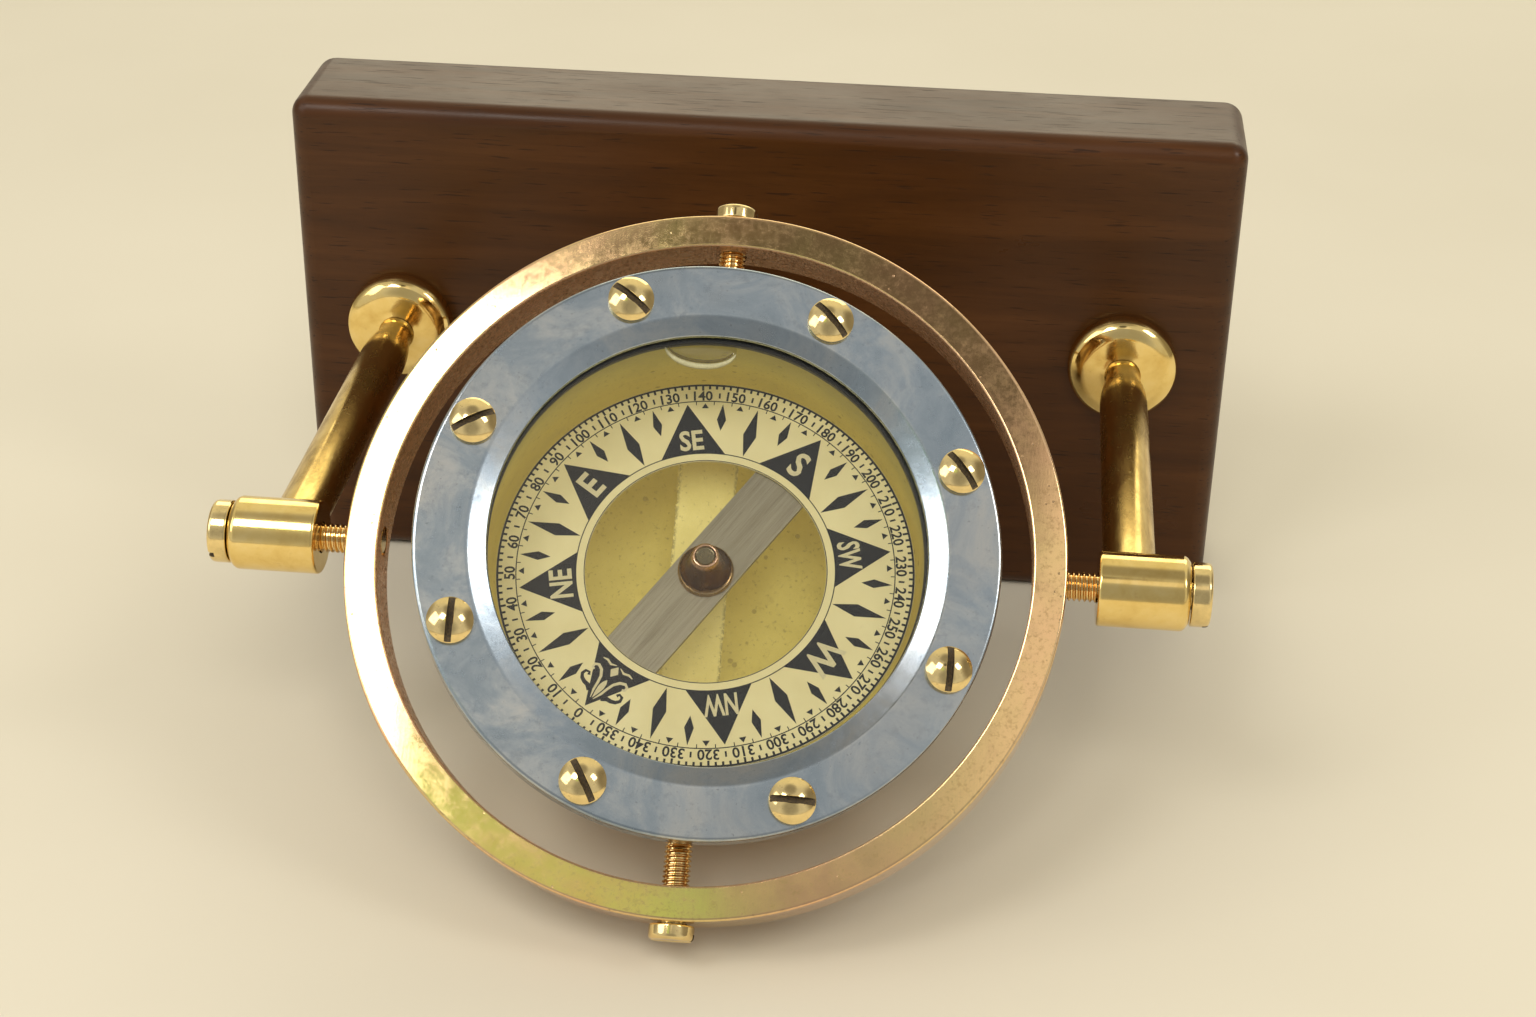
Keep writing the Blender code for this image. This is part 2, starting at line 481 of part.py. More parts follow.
# ---------------------------------------------------------------- needle, card and magnet
def build_pivot(frame):
    """The bridge across the bowl, with the post and the needle that the card rides on."""
    half, sheet, toe = BRIDGE_SPAN / 2, BRIDGE_SHEET, BRIDGE_SPAN / 2 - BRIDGE_FOOT
    bevel = 0.0006
    foot = BOWL_WALL - BOWL_DEPTH + GAP
    outline = [(-half, foot), (-half, BRIDGE_LEVEL), (half, BRIDGE_LEVEL), (half, foot),
               (toe, foot), (toe, foot + sheet), (half - sheet, foot + sheet),
               (half - sheet, BRIDGE_LEVEL - sheet), (sheet - half, BRIDGE_LEVEL - sheet),
               (sheet - half, foot + sheet), (-toe, foot + sheet), (-toe, foot)]
    curve = bpy.data.curves.new("pivot_bridge", "CURVE")
    curve.dimensions = "2D"
    curve.fill_mode = "BOTH"
    curve.extrude = BRIDGE_WIDTH / 2
    spline = curve.splines.new("POLY")
    spline.points.add(len(outline) - 1)
    for point, (across, level) in zip(spline.points, outline):
        point.co = (across, level, 0.0, 1.0)
    spline.use_cyclic_u = True
    curve.materials.append(BOWL_PAINT)
    bridge = place(bpy.data.objects.new("pivot_bridge", curve), frame, (0, 0, 0),
                   (pi / 2, 0, pi / 2), PARTS)
    bridge = solid_mesh(bridge)
    for number, sign in enumerate((1, -1), 1):
        spot = (0, sign * BRIDGE_SCREW_SPOT, foot + sheet + GAP)
        drill(bridge, f"bridge_hole_{number}", SMALL_SHANK + GAP, 5 * sheet, TINY,
              parent=frame, location=spot)
        turned(f"bridge_screw_{number}",
               [(0, SMALL_HEAD_HEIGHT), (SMALL_HEAD_RADIUS - bevel, SMALL_HEAD_HEIGHT),
                (SMALL_HEAD_RADIUS, SMALL_HEAD_HEIGHT - bevel), (SMALL_HEAD_RADIUS, 0),
                (SMALL_SHANK, 0), (SMALL_SHANK, -sheet - SMALL_TAP_DEPTH + GAP),
                (0, -sheet - SMALL_TAP_DEPTH + GAP)],
               BRASS, TINY, parent=frame, location=spot)

    post_top, taper = PIVOT_LEVEL - NEEDLE_REACH, 0.0015
    turned("pivot_post",
           [(0, post_top), (POST_TIP, post_top), (POST_RADIUS, post_top - taper),
            (POST_RADIUS, BRIDGE_LEVEL + taper), (POST_FOOT, BRIDGE_LEVEL + GAP),
            (0, BRIDGE_LEVEL + GAP)], BRASS, COARSE, parent=frame)
    turned("pivot_needle",
           [(0, PIVOT_LEVEL - GAP / 3), (NEEDLE_RADIUS, PIVOT_LEVEL - 5 * NEEDLE_RADIUS),
            (NEEDLE_RADIUS, post_top + GAP), (0, post_top + GAP)], STEEL, TINY, parent=frame)


def build_card(frame):
    """Card, bar magnet, cap and jewel; the frame's origin is the needle's point."""
    top = -CARD_DROP + CARD_THICKNESS / 2
    turned("compass_card",
           [(CARD_RADIUS, top), (CARD_RADIUS, top - CARD_THICKNESS),
            (CARD_HOLE, top - CARD_THICKNESS), (CARD_HOLE, top)],
           CARD_STOCK, FINE, closed=True, parent=frame)

    bar_top = top - CARD_THICKNESS - GAP
    bar_mesh = box_mesh("magnet_bar", (BAR_LENGTH, BAR_WIDTH, BAR_THICKNESS))
    bar_at = (0, 0, bar_top - BAR_THICKNESS / 2)
    bar = part("magnet_bar", bar_mesh, STEEL, frame, bar_at, (0, 0, radians(CARD_NORTH)))
    drill(bar, "bar_hole", BAR_BORE, THROUGH, parent=frame, location=bar_at)

    base = bar_top + GAP
    crown = base + CAP_HEIGHT
    turned("card_cap",
           [(0, crown - 0.0003), (CAP_TOP - 0.0006, crown - 0.0003), (CAP_TOP - 0.0005, crown),
            (CAP_TOP, crown - 0.0003), (CAP_TOP + 0.0003, crown - 0.0020),
            (CAP_TOP + 0.0012, base + 0.0022), (CAP_BASE - 0.0006, base + 0.0010),
            (CAP_BASE, base + 0.0007), (CAP_BASE, base), (0.0044, base), (0.0017, -0.0004),
            (0.0017, 0.0015), (0, 0.0015)],
           COPPER, 24, parent=frame)
    turned("cap_jewel",
           [(0, 0.0012), (0.0014, 0.0012), (0.0014, 0.0), (0.0010, 0.0), (0, 0.0002)],
           JEWEL, TINY, parent=frame)


# ---------------------------------------------------------------- assembly
build_board()
build_arm("left", -ARM_X)
build_arm("right", ARM_X)
ring_frame = pivot_frame("ring_frame", None, GIMBAL, (radians(RING_TILT), 0, 0))
build_ring(ring_frame)
bowl_frame = pivot_frame("bowl_frame", ring_frame, (0, 0, 0), (0, radians(BOWL_TILT), 0))
build_bowl(bowl_frame)
build_bezel(bowl_frame)
build_glazing(bowl_frame)
build_bottom(bowl_frame)
build_pivot(bowl_frame)
card_frame = pivot_frame("card_frame", bowl_frame, (0, 0, PIVOT_LEVEL), (0, 0, 0))
lean_axis = radians(CARD_LEAN + 90)
card_frame.rotation_mode = "AXIS_ANGLE"
card_frame.rotation_axis_angle = (radians(CARD_TILT), cos(lean_axis), sin(lean_axis), 0)
build_card(card_frame)
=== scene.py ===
"""Looks of the gimballed liquid compass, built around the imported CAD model.

Lengths are in millimetres until piece() writes them into a mesh in metres.  Each piece is built in
its own frame: the board's, an arm's, the gimbal ring's, the bowl's or the card's.  The frames come
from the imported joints.  Angles are in degrees.
"""
import json
from math import acos, cos, degrees, hypot, pi, radians, sin

import bmesh
import bpy
from mathutils import Matrix, Vector, noise


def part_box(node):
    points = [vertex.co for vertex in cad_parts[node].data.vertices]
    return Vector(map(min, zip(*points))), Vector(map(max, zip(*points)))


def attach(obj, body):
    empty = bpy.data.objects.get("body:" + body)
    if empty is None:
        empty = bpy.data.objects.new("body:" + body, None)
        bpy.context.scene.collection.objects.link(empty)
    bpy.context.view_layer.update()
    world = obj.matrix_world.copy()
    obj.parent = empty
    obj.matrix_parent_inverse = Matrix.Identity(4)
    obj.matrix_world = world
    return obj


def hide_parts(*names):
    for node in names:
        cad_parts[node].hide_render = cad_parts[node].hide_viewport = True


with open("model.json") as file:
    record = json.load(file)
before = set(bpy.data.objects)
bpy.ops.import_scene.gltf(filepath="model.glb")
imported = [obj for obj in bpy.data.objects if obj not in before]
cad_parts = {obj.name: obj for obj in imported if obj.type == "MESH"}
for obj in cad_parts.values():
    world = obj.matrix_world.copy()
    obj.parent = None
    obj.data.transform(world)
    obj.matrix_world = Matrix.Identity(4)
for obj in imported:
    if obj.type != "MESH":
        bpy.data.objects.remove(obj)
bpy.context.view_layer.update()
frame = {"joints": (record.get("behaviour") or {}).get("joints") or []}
MM = 0.001
QUARTER = 90
SMOOTH_BELOW = 34                 # faces that meet at less than this are shaded as one surface

# ---------------------------------------------------------------- sizes, in millimetres
BOARD_ROUND = 4.6
SEAM = 0.3                        # gap that the CAD keeps between touching pieces
STUD_RADIUS = 3.0
NUT_POCKET_RADIUS, NUT_POCKET_DEPTH = 8.5, 10.0
ROD_RADIUS, NECK_RADIUS = 5.6, 3.9
HEAD_RADIUS, HEAD_HALF = 7.9, 9.5
GIMBAL_SHANK, GIMBAL_PITCH = 3.1, 1.08
GIMBAL_HEAD_RADIUS, GIMBAL_HEAD_LENGTH = 6.75, 4.2
RING_OUTER, RING_INNER, RING_HALF = 76.0, 68.9, 5.9
BOWL_SHANK, BOWL_PITCH = 2.9, 1.0
BOWL_SCREW_RADIUS, BOWL_SCREW_LENGTH = 4.7, 3.2
BOWL_OUTER, BOWL_INNER, BOWL_DEPTH = 50.3, 47.0, 49.3
BOWL_CORNER, BOWL_WALL = 12.0, 3.1
BOSS_RADIUS, BOSS_REACH = 6.0, 55.0
FLANGE_OUTER, FLANGE_TOP, FLANGE_UNDER = 59.7, 9.3, 4.5
SEAT_RADIUS, SEAT_LEVEL = 51.1, 7.2
BEZEL_OUTER, BEZEL_STEP, BEZEL_OPENING = 60.9, 49.8, 45.6
BEZEL_FACE, BEZEL_LIP, BEZEL_LIP_UNDER = 15.3, 13.9, 12.7
BEZEL_SCREW_CIRCLE, BEZEL_SCREW_HEAD, BEZEL_SCREW_DOME = 55.2, 4.8, 3.0
BEZEL_SLOTS = (-50, -45, -35, 30, 90, -60, 0, 90)
BEZEL_TURNS = [22.5 + 45 * number for number in range(8)]
BEZEL_SLOT_DEPTH, PIN_SLOT_DEPTH = 1.75, 1.5
THREAD_DEPTH = 0.52
GASKET_INNER = 45.5
SLOT_WIDTH = 1.4
BRIDGE_LEVEL, BRIDGE_HALF_SPAN, BRIDGE_HALF_WIDTH, BRIDGE_SHEET = -22.0, 35.0, 6.5, 1.6
CARD_RADIUS, CARD_HOLE, CARD_THICKNESS, CARD_DROP = 44.45, 25.6, 0.6, 5.0
CARD_NORTH = 235.5
BAR_HALF_LENGTH, BAR_HALF_WIDTH, BAR_THICKNESS = 29.0, 6.5, 1.2
CAP_BASE, CAP_TOP, CAP_HEIGHT = 6.1, 2.8, 8.5
COVER_RADIUS, COVER_SCREW_CIRCLE = 34.5, 30.8
EXPANSION_HOLE, DIAPHRAGM_REACH = 5.0, 21.0
FILLER_LEVEL = -16.0

# ---------------------------------------------------------------- frames
def joint(name):
    return next(item for item in frame["joints"] if item["name"] == name)


def frame_matrix(origin, across, up, out):
    """A frame at origin whose own X, Y and Z axes are the three directions given."""
    turn = Matrix((across, up, out)).transposed().to_4x4()
    return Matrix.Translation(origin) @ turn


GIMBAL = Vector(joint("ring_tilt")["pos_m"])
WORLD_X = Vector((1, 0, 0))
UP_RING = Vector(joint("bowl_tilt")["axis"]).normalized()
RING_FRAME = frame_matrix(GIMBAL, WORLD_X, UP_RING, WORLD_X.cross(UP_RING))
BOWL_OUT = UP_RING.cross(Vector(joint("card_tilt")["axis"])).normalized()
BOWL_FRAME = frame_matrix(GIMBAL, UP_RING.cross(BOWL_OUT), UP_RING, BOWL_OUT)
CARD_OUT = Vector(joint("card_spin")["axis"]).normalized()
CARD_ACROSS = BOWL_OUT.rotation_difference(CARD_OUT) @ UP_RING.cross(BOWL_OUT)
PIVOT = Vector(joint("card_tilt")["pos_m"])
CARD_FRAME = frame_matrix(PIVOT, CARD_ACROSS, CARD_OUT.cross(CARD_ACROSS), CARD_OUT)
TO_X, TO_MINUS_X, TO_Y, TO_MINUS_Y = (
    Matrix.Rotation(turn, 4, axis)
    for turn, axis in ((pi / 2, "Y"), (-pi / 2, "Y"), (-pi / 2, "X"), (pi / 2, "X")))


def at(x=0.0, y=0.0, z=0.0):
    return Matrix.Translation((x, y, z))


def shift(x=0.0, y=0.0, z=0.0):
    """A move given in millimetres, for a place in the CAD frame."""
    return at(x * MM, y * MM, z * MM)


def about_z(turn):
    return Matrix.Rotation(radians(turn), 4, "Z")


def box(node):
    """The lowest and highest corners of a CAD node, in millimetres."""
    return [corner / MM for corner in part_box(node)]


# ---------------------------------------------------------------- mesh helpers
def polar(radius, angle):
    return radius * cos(radians(angle)), radius * sin(radians(angle))


def arc(centre, radius, start, end, steps):
    """Points on an arc of an outline; angles run from the +radius direction towards +height."""
    points = []
    for step in range(steps + 1):
        x, y = polar(radius, start + (end - start) * step / steps)
        points.append((centre[0] + x, centre[1] + y))
    return points


def rounded(corners, closed=False, steps=5):
    """An outline from (radius, height) corners, where a third value rounds the corner off."""
    points = []
    count = len(corners)
    for place, corner in enumerate(corners):
        here = Vector(corner[:2])
        inside = closed or 0 < place < count - 1
        if len(corner) < 3 or not inside:
            points.append(tuple(here))
            continue
        before = Vector(corners[place - 1][:2]) - here
        after = Vector(corners[(place + 1) % count][:2]) - here
        reach = min(corner[2], 0.49 * before.length, 0.49 * after.length)
        start = here + before.normalized() * reach
        end = here + after.normalized() * reach
        for step in range(steps + 1):
            t = step / steps
            points.append(tuple(start * (1 - t) ** 2 + here * 2 * t * (1 - t) + end * t * t))
    return points


def skin(shape, rows, closed=False, capped=False):
    """Covers rows of points, each a loop or one point; closed joins the last row to the first."""
    for here, there in zip(rows, rows[1:] + rows[:1] * closed):
        count = max(len(here), len(there))
        for i in range(count):
            j = (i + 1) % count
            corners = (here[i % len(here)], there[i % len(there)],
                       there[j % len(there)], here[j % len(here)])
            face = list(dict.fromkeys(corners))
            if len(face) > 2:
                shape.faces.new(face)
    if capped:
        shape.faces.new(reversed(rows[0]))
        shape.faces.new(rows[-1])
    return shape


def facing_out(shape):
    bmesh.ops.recalc_face_normals(shape, faces=shape.faces)
    return shape


def circle(shape, radius, height, sides):
    return [shape.verts.new((*polar(radius, 360 * i / sides), height)) for i in range(sides)]


def lathe(outline, sides, closed=False):
    """A turned solid; an open outline starts and ends on the axis."""
    shape = bmesh.new()
    rows = [circle(shape, radius, height, sides if radius > 1e-6 else 1)
            for radius, height in outline]
    return facing_out(skin(shape, rows, closed))


def turned(corners, sides, closed=False, steps=5):
    return lathe(rounded(corners, closed, steps), sides, closed)


def rod(radius, low, high, sides=48):
    """A plain cylinder along Z, mostly for cutting holes."""
    return lathe([(0, high), (radius, high), (radius, low), (0, low)], sides)


def thread(radius, depth, pitch, low, high, sides=36):
    """A screw thread as a true helix, closed at both ends."""
    crest = (0.0, 0.0, depth * 0.45, depth, depth, depth * 0.45)
    per_turn = len(crest)
    rows = int((high - low) / pitch * per_turn)
    shape = bmesh.new()
    grid = [[shape.verts.new((*polar(radius - crest[row % per_turn], 360 * i / sides),
                              low + pitch * (row / per_turn + i / sides)))
             for i in range(sides)] for row in range(rows + per_turn)]
    for row in range(rows):
        here, above = grid[row:row + 2]
        for i in range(sides - 1):
            shape.faces.new((here[i], here[i + 1], above[i + 1], above[i]))
    for row in range(rows - 1):
        shape.faces.new((grid[row][-1], grid[row + per_turn][0],
                         grid[row + 1 + per_turn][0], grid[row + 1][-1]))
    loose = [vert for vert in shape.verts if not vert.link_faces]
    bmesh.ops.delete(shape, geom=loose, context="VERTS")
    rim = [edge for edge in shape.edges if edge.is_boundary]
    bmesh.ops.holes_fill(shape, edges=rim, sides=0)
    return facing_out(shape)


def block(width, depth, height, rounding=0.0, segments=3):
    """A box with rounded edges, centred on its own origin."""
    shape = bmesh.new()
    bmesh.ops.create_cube(shape, size=1.0, matrix=Matrix.Diagonal((width, depth, height, 1.0)))
    if rounding:
        bmesh.ops.bevel(shape, geom=shape.edges[:], offset=rounding, segments=segments,
                        profile=0.5, affect="EDGES")
    return shape


def add_prism(shape, outline, low, high):
    """A flat outline of (x, y) points, made into a solid between two levels."""
    return skin(shape, [[shape.verts.new((x, y, z)) for x, y in outline] for z in (low, high)],
                capped=True)


def prism(outline, low, high):
    return facing_out(add_prism(bmesh.new(), outline, low, high))


def joined(*shapes):
    """Several shapes as the separate shells of one mesh."""
    whole = shapes[0]
    for other in shapes[1:]:
        spare = bpy.data.meshes.new("spare")
        other.to_mesh(spare)
        whole.from_mesh(spare)
        other.free()
        bpy.data.meshes.remove(spare)
    return whole


def moved(shape, matrix):
    bmesh.ops.transform(shape, matrix=matrix, verts=shape.verts)
    return shape


def object_of(name, shape):
    mesh = bpy.data.meshes.new(name)
    shape.to_mesh(mesh)
    shape.free()
    made = bpy.data.objects.new(name, mesh)
    bpy.context.scene.collection.objects.link(made)
    return made


def apply_modifiers(made):
    bpy.context.view_layer.update()
    graph = bpy.context.evaluated_depsgraph_get()
    result = bpy.data.meshes.new_from_object(made.evaluated_get(graph))
    made.modifiers.clear()
    old = made.data
    made.data = result
    bpy.data.meshes.remove(old)


def combine(made, shape, operation):
    """Applies a boolean with a shape that is in the piece's own frame."""
    tool = object_of("tool", shape)
    modifier = made.modifiers.new("combine", "BOOLEAN")
    modifier.operation = operation
    modifier.solver = "EXACT"
    modifier.object = tool
    apply_modifiers(made)
    bpy.data.meshes.remove(tool.data)


def remember_place(mesh):
    """Keeps each point's place in the piece's own frame, in millimetres, for the materials."""
    places = mesh.attributes.new("place", "FLOAT_VECTOR", "POINT")
    for vert, item in zip(mesh.vertices, places.data):
        item.vector = vert.co


def piece(name, shape, place, material, body, slot, *nodes, joins=(), cuts=(), within=(),
          inner=None):
    """Writes a shape as a piece that rides on a body and stands for the CAD nodes named.

    The shape is in its own frame, in millimetres; place puts it in the CAD frame.  Shapes in joins
    are added, in cuts removed, in within intersected.  inner is a second material with a test of a
    face's middle and normal.
    """
    made = object_of(name, shape)
    for shapes, operation in ((joins, "UNION"), (cuts, "DIFFERENCE"), (within, "INTERSECT")):
        for tool in shapes:
            combine(made, tool, operation)
    made.data.shade_smooth()
    made.data.set_sharp_from_angle(angle=radians(SMOOTH_BELOW))
    flats = made.modifiers.new("keep_flats_flat", "WEIGHTED_NORMAL")
    flats.keep_sharp = True
    apply_modifiers(made)
    mesh = made.data
    mesh.name = name
    mesh.materials.clear()
    mesh.materials.append(material)
    if inner:
        mesh.materials.append(inner[0])
        for face in mesh.polygons:
            face.material_index = int(inner[1](face.center, face.normal))
    remember_place(mesh)
    mesh.transform(place @ Matrix.Scale(MM, 4))
    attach(made, body)
    if nodes:
        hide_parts(*nodes)
    return made


# ---------------------------------------------------------------- material helpers
class Nodes:
    """A node tree, with short names for the nodes that it needs."""

    def __init__(self, tree):
        self.tree = tree

    def feed(self, value, target):
        if isinstance(value, bpy.types.NodeSocket):
            self.tree.links.new(value, target)
        else:
            target.default_value = (*value, 1.0) if target.type == "RGBA" else value

    def node(self, kind, inputs=(), output=0, **settings):
        """Adds a node with its settings and inputs, and gives one of its outputs."""
        node = self.tree.nodes.new("ShaderNode" + kind)
        for name, value in settings.items():
            setattr(node, name, value)
        for key, value in dict(inputs).items():
            self.feed(value, node.inputs[key])
        return node.outputs[output]

    def math(self, operation, first, second=0.0):
        return self.node("Math", {0: first, 1: second}, operation=operation)

    def times(self, first, second):
        return self.math("MULTIPLY", first, second)

    def plus(self, first, second):
        return self.math("ADD", first, second)

    def step(self, value, low, high, to_low=0.0, to_high=1.0):
        return self.node("MapRange", enumerate((value, low, high, to_low, to_high)),
                         interpolation_type="SMOOTHSTEP")

    def mix(self, factor, first, second):
        return self.node("Mix", {0: factor, 6: first, 7: second}, 2, data_type="RGBA")


class Surface(Nodes):
    """A Principled material; its patterns follow each point's place in its own piece."""

    def __init__(self, name, metallic=0.0, roughness=0.4):
        self.material = bpy.data.materials.new(name)
        self.material.use_nodes = True
        super().__init__(self.material.node_tree)
        self.shader = self.tree.nodes["Principled BSDF"]
        self.feed(metallic, self.shader.inputs["Metallic"])
        self.feed(roughness, self.shader.inputs["Roughness"])
        self.where = self.node("Attribute", output="Vector", attribute_name="place")
        self.colour = self.normal = None

    def stretched(self, x=1.0, y=1.0, z=1.0):
        """The place with each axis multiplied; a small factor draws the pattern out along it."""
        return self.node("Mapping", {"Vector": self.where, "Scale": (x, y, z)})

    def parts(self):
        return self.node("SeparateXYZ", {0: self.where}, slice(None))

    def from_axis(self):
        """The distance from the piece's own Z axis."""
        return self.node("VectorMath", {0: self.stretched(z=0.0)}, "Value", operation="LENGTH")

    def around_axis(self, angular):
        """Distance from the axis, angle times angular, and height."""
        x, y, z = self.parts()
        turn = self.times(self.math("ARCTAN2", y, x), angular)
        return self.node("CombineXYZ", {0: self.from_axis(), 1: turn, 2: z})

    def noise(self, size, detail=4, roughness=0.55, distortion=0.0, where=None):
        """Cloudy noise with features about size millimetres across, from 0 to 1."""
        return self.node("TexNoise", {"Vector": where or self.where, "Scale": 1.0 / size,
                                      "Detail": detail, "Roughness": roughness,
                                      "Distortion": distortion}, "Fac")

    def spots(self, size):
        """The distance from scattered points about size apart, 0 at each point."""
        return self.node("TexVoronoi", {"Vector": self.where, "Scale": 1.0 / size}, "Distance")

    def ramp(self, value, *stops):
        """A colour for a value from 0 to 1, by (place, colour) stops."""
        colour = self.node("ValToRGB", {0: value})
        elements = colour.node.color_ramp.elements
        while len(elements) < len(stops):
            elements.new(0.5)
        for element, (place, tone) in zip(elements, stops):
            element.position = place
            element.color = (*tone, 1.0)
        return colour

    def base(self, value, *stops):
        self.colour = self.ramp(value, *stops)

    def tint(self, mask, tone, share=1.0):
        """Turns the colour to a tone where mask is 1, by a share of the way."""
        if share < 1.0:
            mask = self.times(mask, share)
        self.colour = self.mix(mask, self.colour, tone)

    def relief(self, height, distance, strength=1.0):
        """Adds a bump of distance millimetres for a height from 0 to 1."""
        inputs = {"Distance": distance * MM, "Strength": strength, "Height": height}
        if self.normal:
            inputs["Normal"] = self.normal
        self.normal = self.node("Bump", inputs, "Normal")

    def finish(self, roughness=None, **fixed):
        """Feeds the shader, and gives the material."""
        inputs = {"Base_Color": self.colour, "Roughness": roughness, "Normal": self.normal}
        for name, value in (inputs | fixed).items():
            if value is not None:
                self.feed(value, self.shader.inputs[name.replace("_", " ")])
        return self.material


# ---------------------------------------------------------------- materials
def wood():
    """Dark mahogany: long grain, short dark pores, a satin varnish of uneven gloss."""
    s = Surface("mahogany_varnished")
    bands = s.noise(9.0, 6, 0.6, 0.6, where=s.stretched(0.09))
    streaks = s.noise(1.6, 5, 0.65, where=s.stretched(0.035))
    pores = s.noise(0.55, 2, 0.5, where=s.stretched(0.055))
    pore_mask = s.step(pores, 0.60, 0.72)
    s.base(bands, (0.25, (0.034, 0.0125, 0.0035)), (0.50, (0.064, 0.0225, 0.0050)),
           (0.72, (0.096, 0.0350, 0.0085)))
    s.tint(streaks, (0.032, 0.0095, 0.0020), 0.6)
    s.tint(pore_mask, (0.009, 0.0035, 0.0012), 0.65)
    smears = s.noise(26.0, 5, 0.6, where=s.stretched(0.5))
    rough = s.plus(s.step(smears, 0.3, 0.7, 0.27, 0.40), s.times(pore_mask, 0.16))
    s.relief(s.noise(60.0, 2), 0.35, 0.35)
    s.relief(streaks, 0.05, 0.4)
    s.relief(s.math("SUBTRACT", 1.0, pore_mask), 0.035, 0.6)
    return s.finish(rough, Coat_Weight=0.10, Coat_Roughness=0.20, Specular_IOR_Level=0.22)


def polished_brass():
    """Yellow brass, polished, with fine scratches, finger marks and a little tarnish."""
    s = Surface("polished_brass", metallic=1.0)
    tarnish = s.noise(7.0, 6, 0.62, 0.3)
    s.base(tarnish, (0.28, (0.76, 0.53, 0.17)), (0.50, (0.88, 0.655, 0.25)),
           (0.75, (0.94, 0.74, 0.34)))
    dirt = s.step(s.noise(2.2, 5, 0.7), 0.60, 0.78)
    s.tint(dirt, (0.42, 0.24, 0.08), 0.30)
    rough = s.plus(s.step(tarnish, 0.3, 0.75, 0.14, 0.07), s.times(dirt, 0.12))
    scratches = s.noise(0.35, 3, where=s.stretched(z=0.06))
    s.relief(s.noise(5.0, 3), 0.03, 0.35)
    s.relief(scratches, 0.004, 0.5)
    return s.finish(rough)


def aged_brass():
    """The arms' shafts: the same brass, less polished, mottled olive-brown."""
    s = Surface("aged_brass", metallic=1.0)
    mottle = s.noise(6.0, 6, 0.68, 0.4, where=s.stretched(z=0.35))
    s.base(mottle, (0.34, (0.36, 0.235, 0.065)), (0.52, (0.68, 0.47, 0.15)),
           (0.68, (0.82, 0.60, 0.22)))
    stains = s.step(s.noise(1.6, 6, 0.7), 0.58, 0.76)
    s.tint(stains, (0.17, 0.105, 0.035), 0.45)
    rough = s.plus(s.step(mottle, 0.32, 0.70, 0.30, 0.15), s.times(stains, 0.12))
    scratches = s.noise(0.4, 3, where=s.stretched(z=0.05))
    s.relief(s.noise(4.0, 4), 0.03, 0.4)
    s.relief(scratches, 0.006, 0.5)
    return s.finish(rough)


def slot_grime():
    """Near-black brown colour in the screwdriver slots, mottled in its bump and roughness."""
    s = Surface("slot_grime")
    slot_mottle = s.noise(0.4, 4)
    # the slots' floors and walls are coloured near-black brown
    s.base(slot_mottle, (0.35, (0.022, 0.014, 0.006)), (0.75, (0.130, 0.085, 0.035)))
    s.relief(slot_mottle, 0.08, 0.5)
    return s.finish(s.step(slot_mottle, 0.3, 0.7, 0.55, 0.80))


def turned_brass(name, tone):
    """Screw brass with fine turning marks and dark specks of dirt."""
    s = Surface(name, metallic=1.0)
    tarnish = s.noise(2.6, 5, 0.6)
    dull = tuple(0.78 * value for value in tone)
    s.base(tarnish, (0.30, dull), (0.65, tone))
    specks = s.step(s.noise(0.7, 3), 0.62, 0.75)
    s.tint(specks, (0.20, 0.11, 0.04), 0.45)
    rough = s.plus(s.step(tarnish, 0.3, 0.7, 0.13, 0.07), s.times(specks, 0.18))
    rings = s.noise(0.22, 2, where=s.around_axis(0.5))
    s.relief(rings, 0.006, 0.5)
    return s.finish(rough)


def ring_bronze():
    """The gimbal ring's worn bronze: pinkish and greenish patches, scratches and small pits."""
    s = Surface("worn_bronze", metallic=1.0)
    patches = s.noise(38.0, 5, 0.6, 0.4)
    blotches = s.noise(6.0, 6, 0.65)
    bore = s.step(s.from_axis(), RING_INNER + 0.35, RING_INNER + 0.05)
    s.base(patches, (0.34, (0.87, 0.54, 0.30)), (0.50, (0.84, 0.60, 0.29)),
           (0.66, (0.79, 0.65, 0.26)))
    s.tint(s.step(blotches, 0.52, 0.72, 0.0, 0.30), (0.64, 0.41, 0.20))
    # pinker towards the ring's right side
    s.tint(s.step(s.parts()[0], -10.0, 70.0, 0.0, 0.40), (0.88, 0.56, 0.36))
    speckle = s.noise(1.1, 4, 0.7)
    s.tint(s.step(speckle, 0.50, 0.70, 0.0, 0.45), (0.50, 0.33, 0.14))
    s.tint(bore, (0.70, 0.42, 0.24), 0.8)
    s.feed(s.math("SUBTRACT", 1.0, s.times(bore, 0.45)), s.shader.inputs["Metallic"])
    crust = s.times(bore, s.step(s.noise(0.8, 4, 0.7), 0.53, 0.62))
    pits = s.times(s.step(s.spots(1.5), 0.22, 0.10), s.step(s.noise(9.0, 4), 0.54, 0.66))
    pitted = s.math("MAXIMUM", pits, crust)
    s.tint(pitted, (0.13, 0.065, 0.03), 0.70)
    turning = s.noise(0.30, 3, where=s.around_axis(16.0))
    scratches = s.noise(0.5, 4, 0.55, 0.2, where=s.stretched(y=0.05))
    rough = s.plus(s.step(blotches, 0.3, 0.7, 0.06, 0.13), s.times(pitted, 0.3))
    rough = s.plus(rough, s.step(speckle, 0.42, 0.68, 0.0, 0.06))
    rough = s.plus(rough, s.times(bore, 0.16))
    s.relief(s.noise(14.0, 2), 0.05, 0.20)
    s.relief(turning, 0.005, 0.5)
    s.relief(scratches, 0.005, 0.45)
    s.relief(s.math("SUBTRACT", 1.0, pitted), 0.03, 0.5)
    return s.finish(rough)


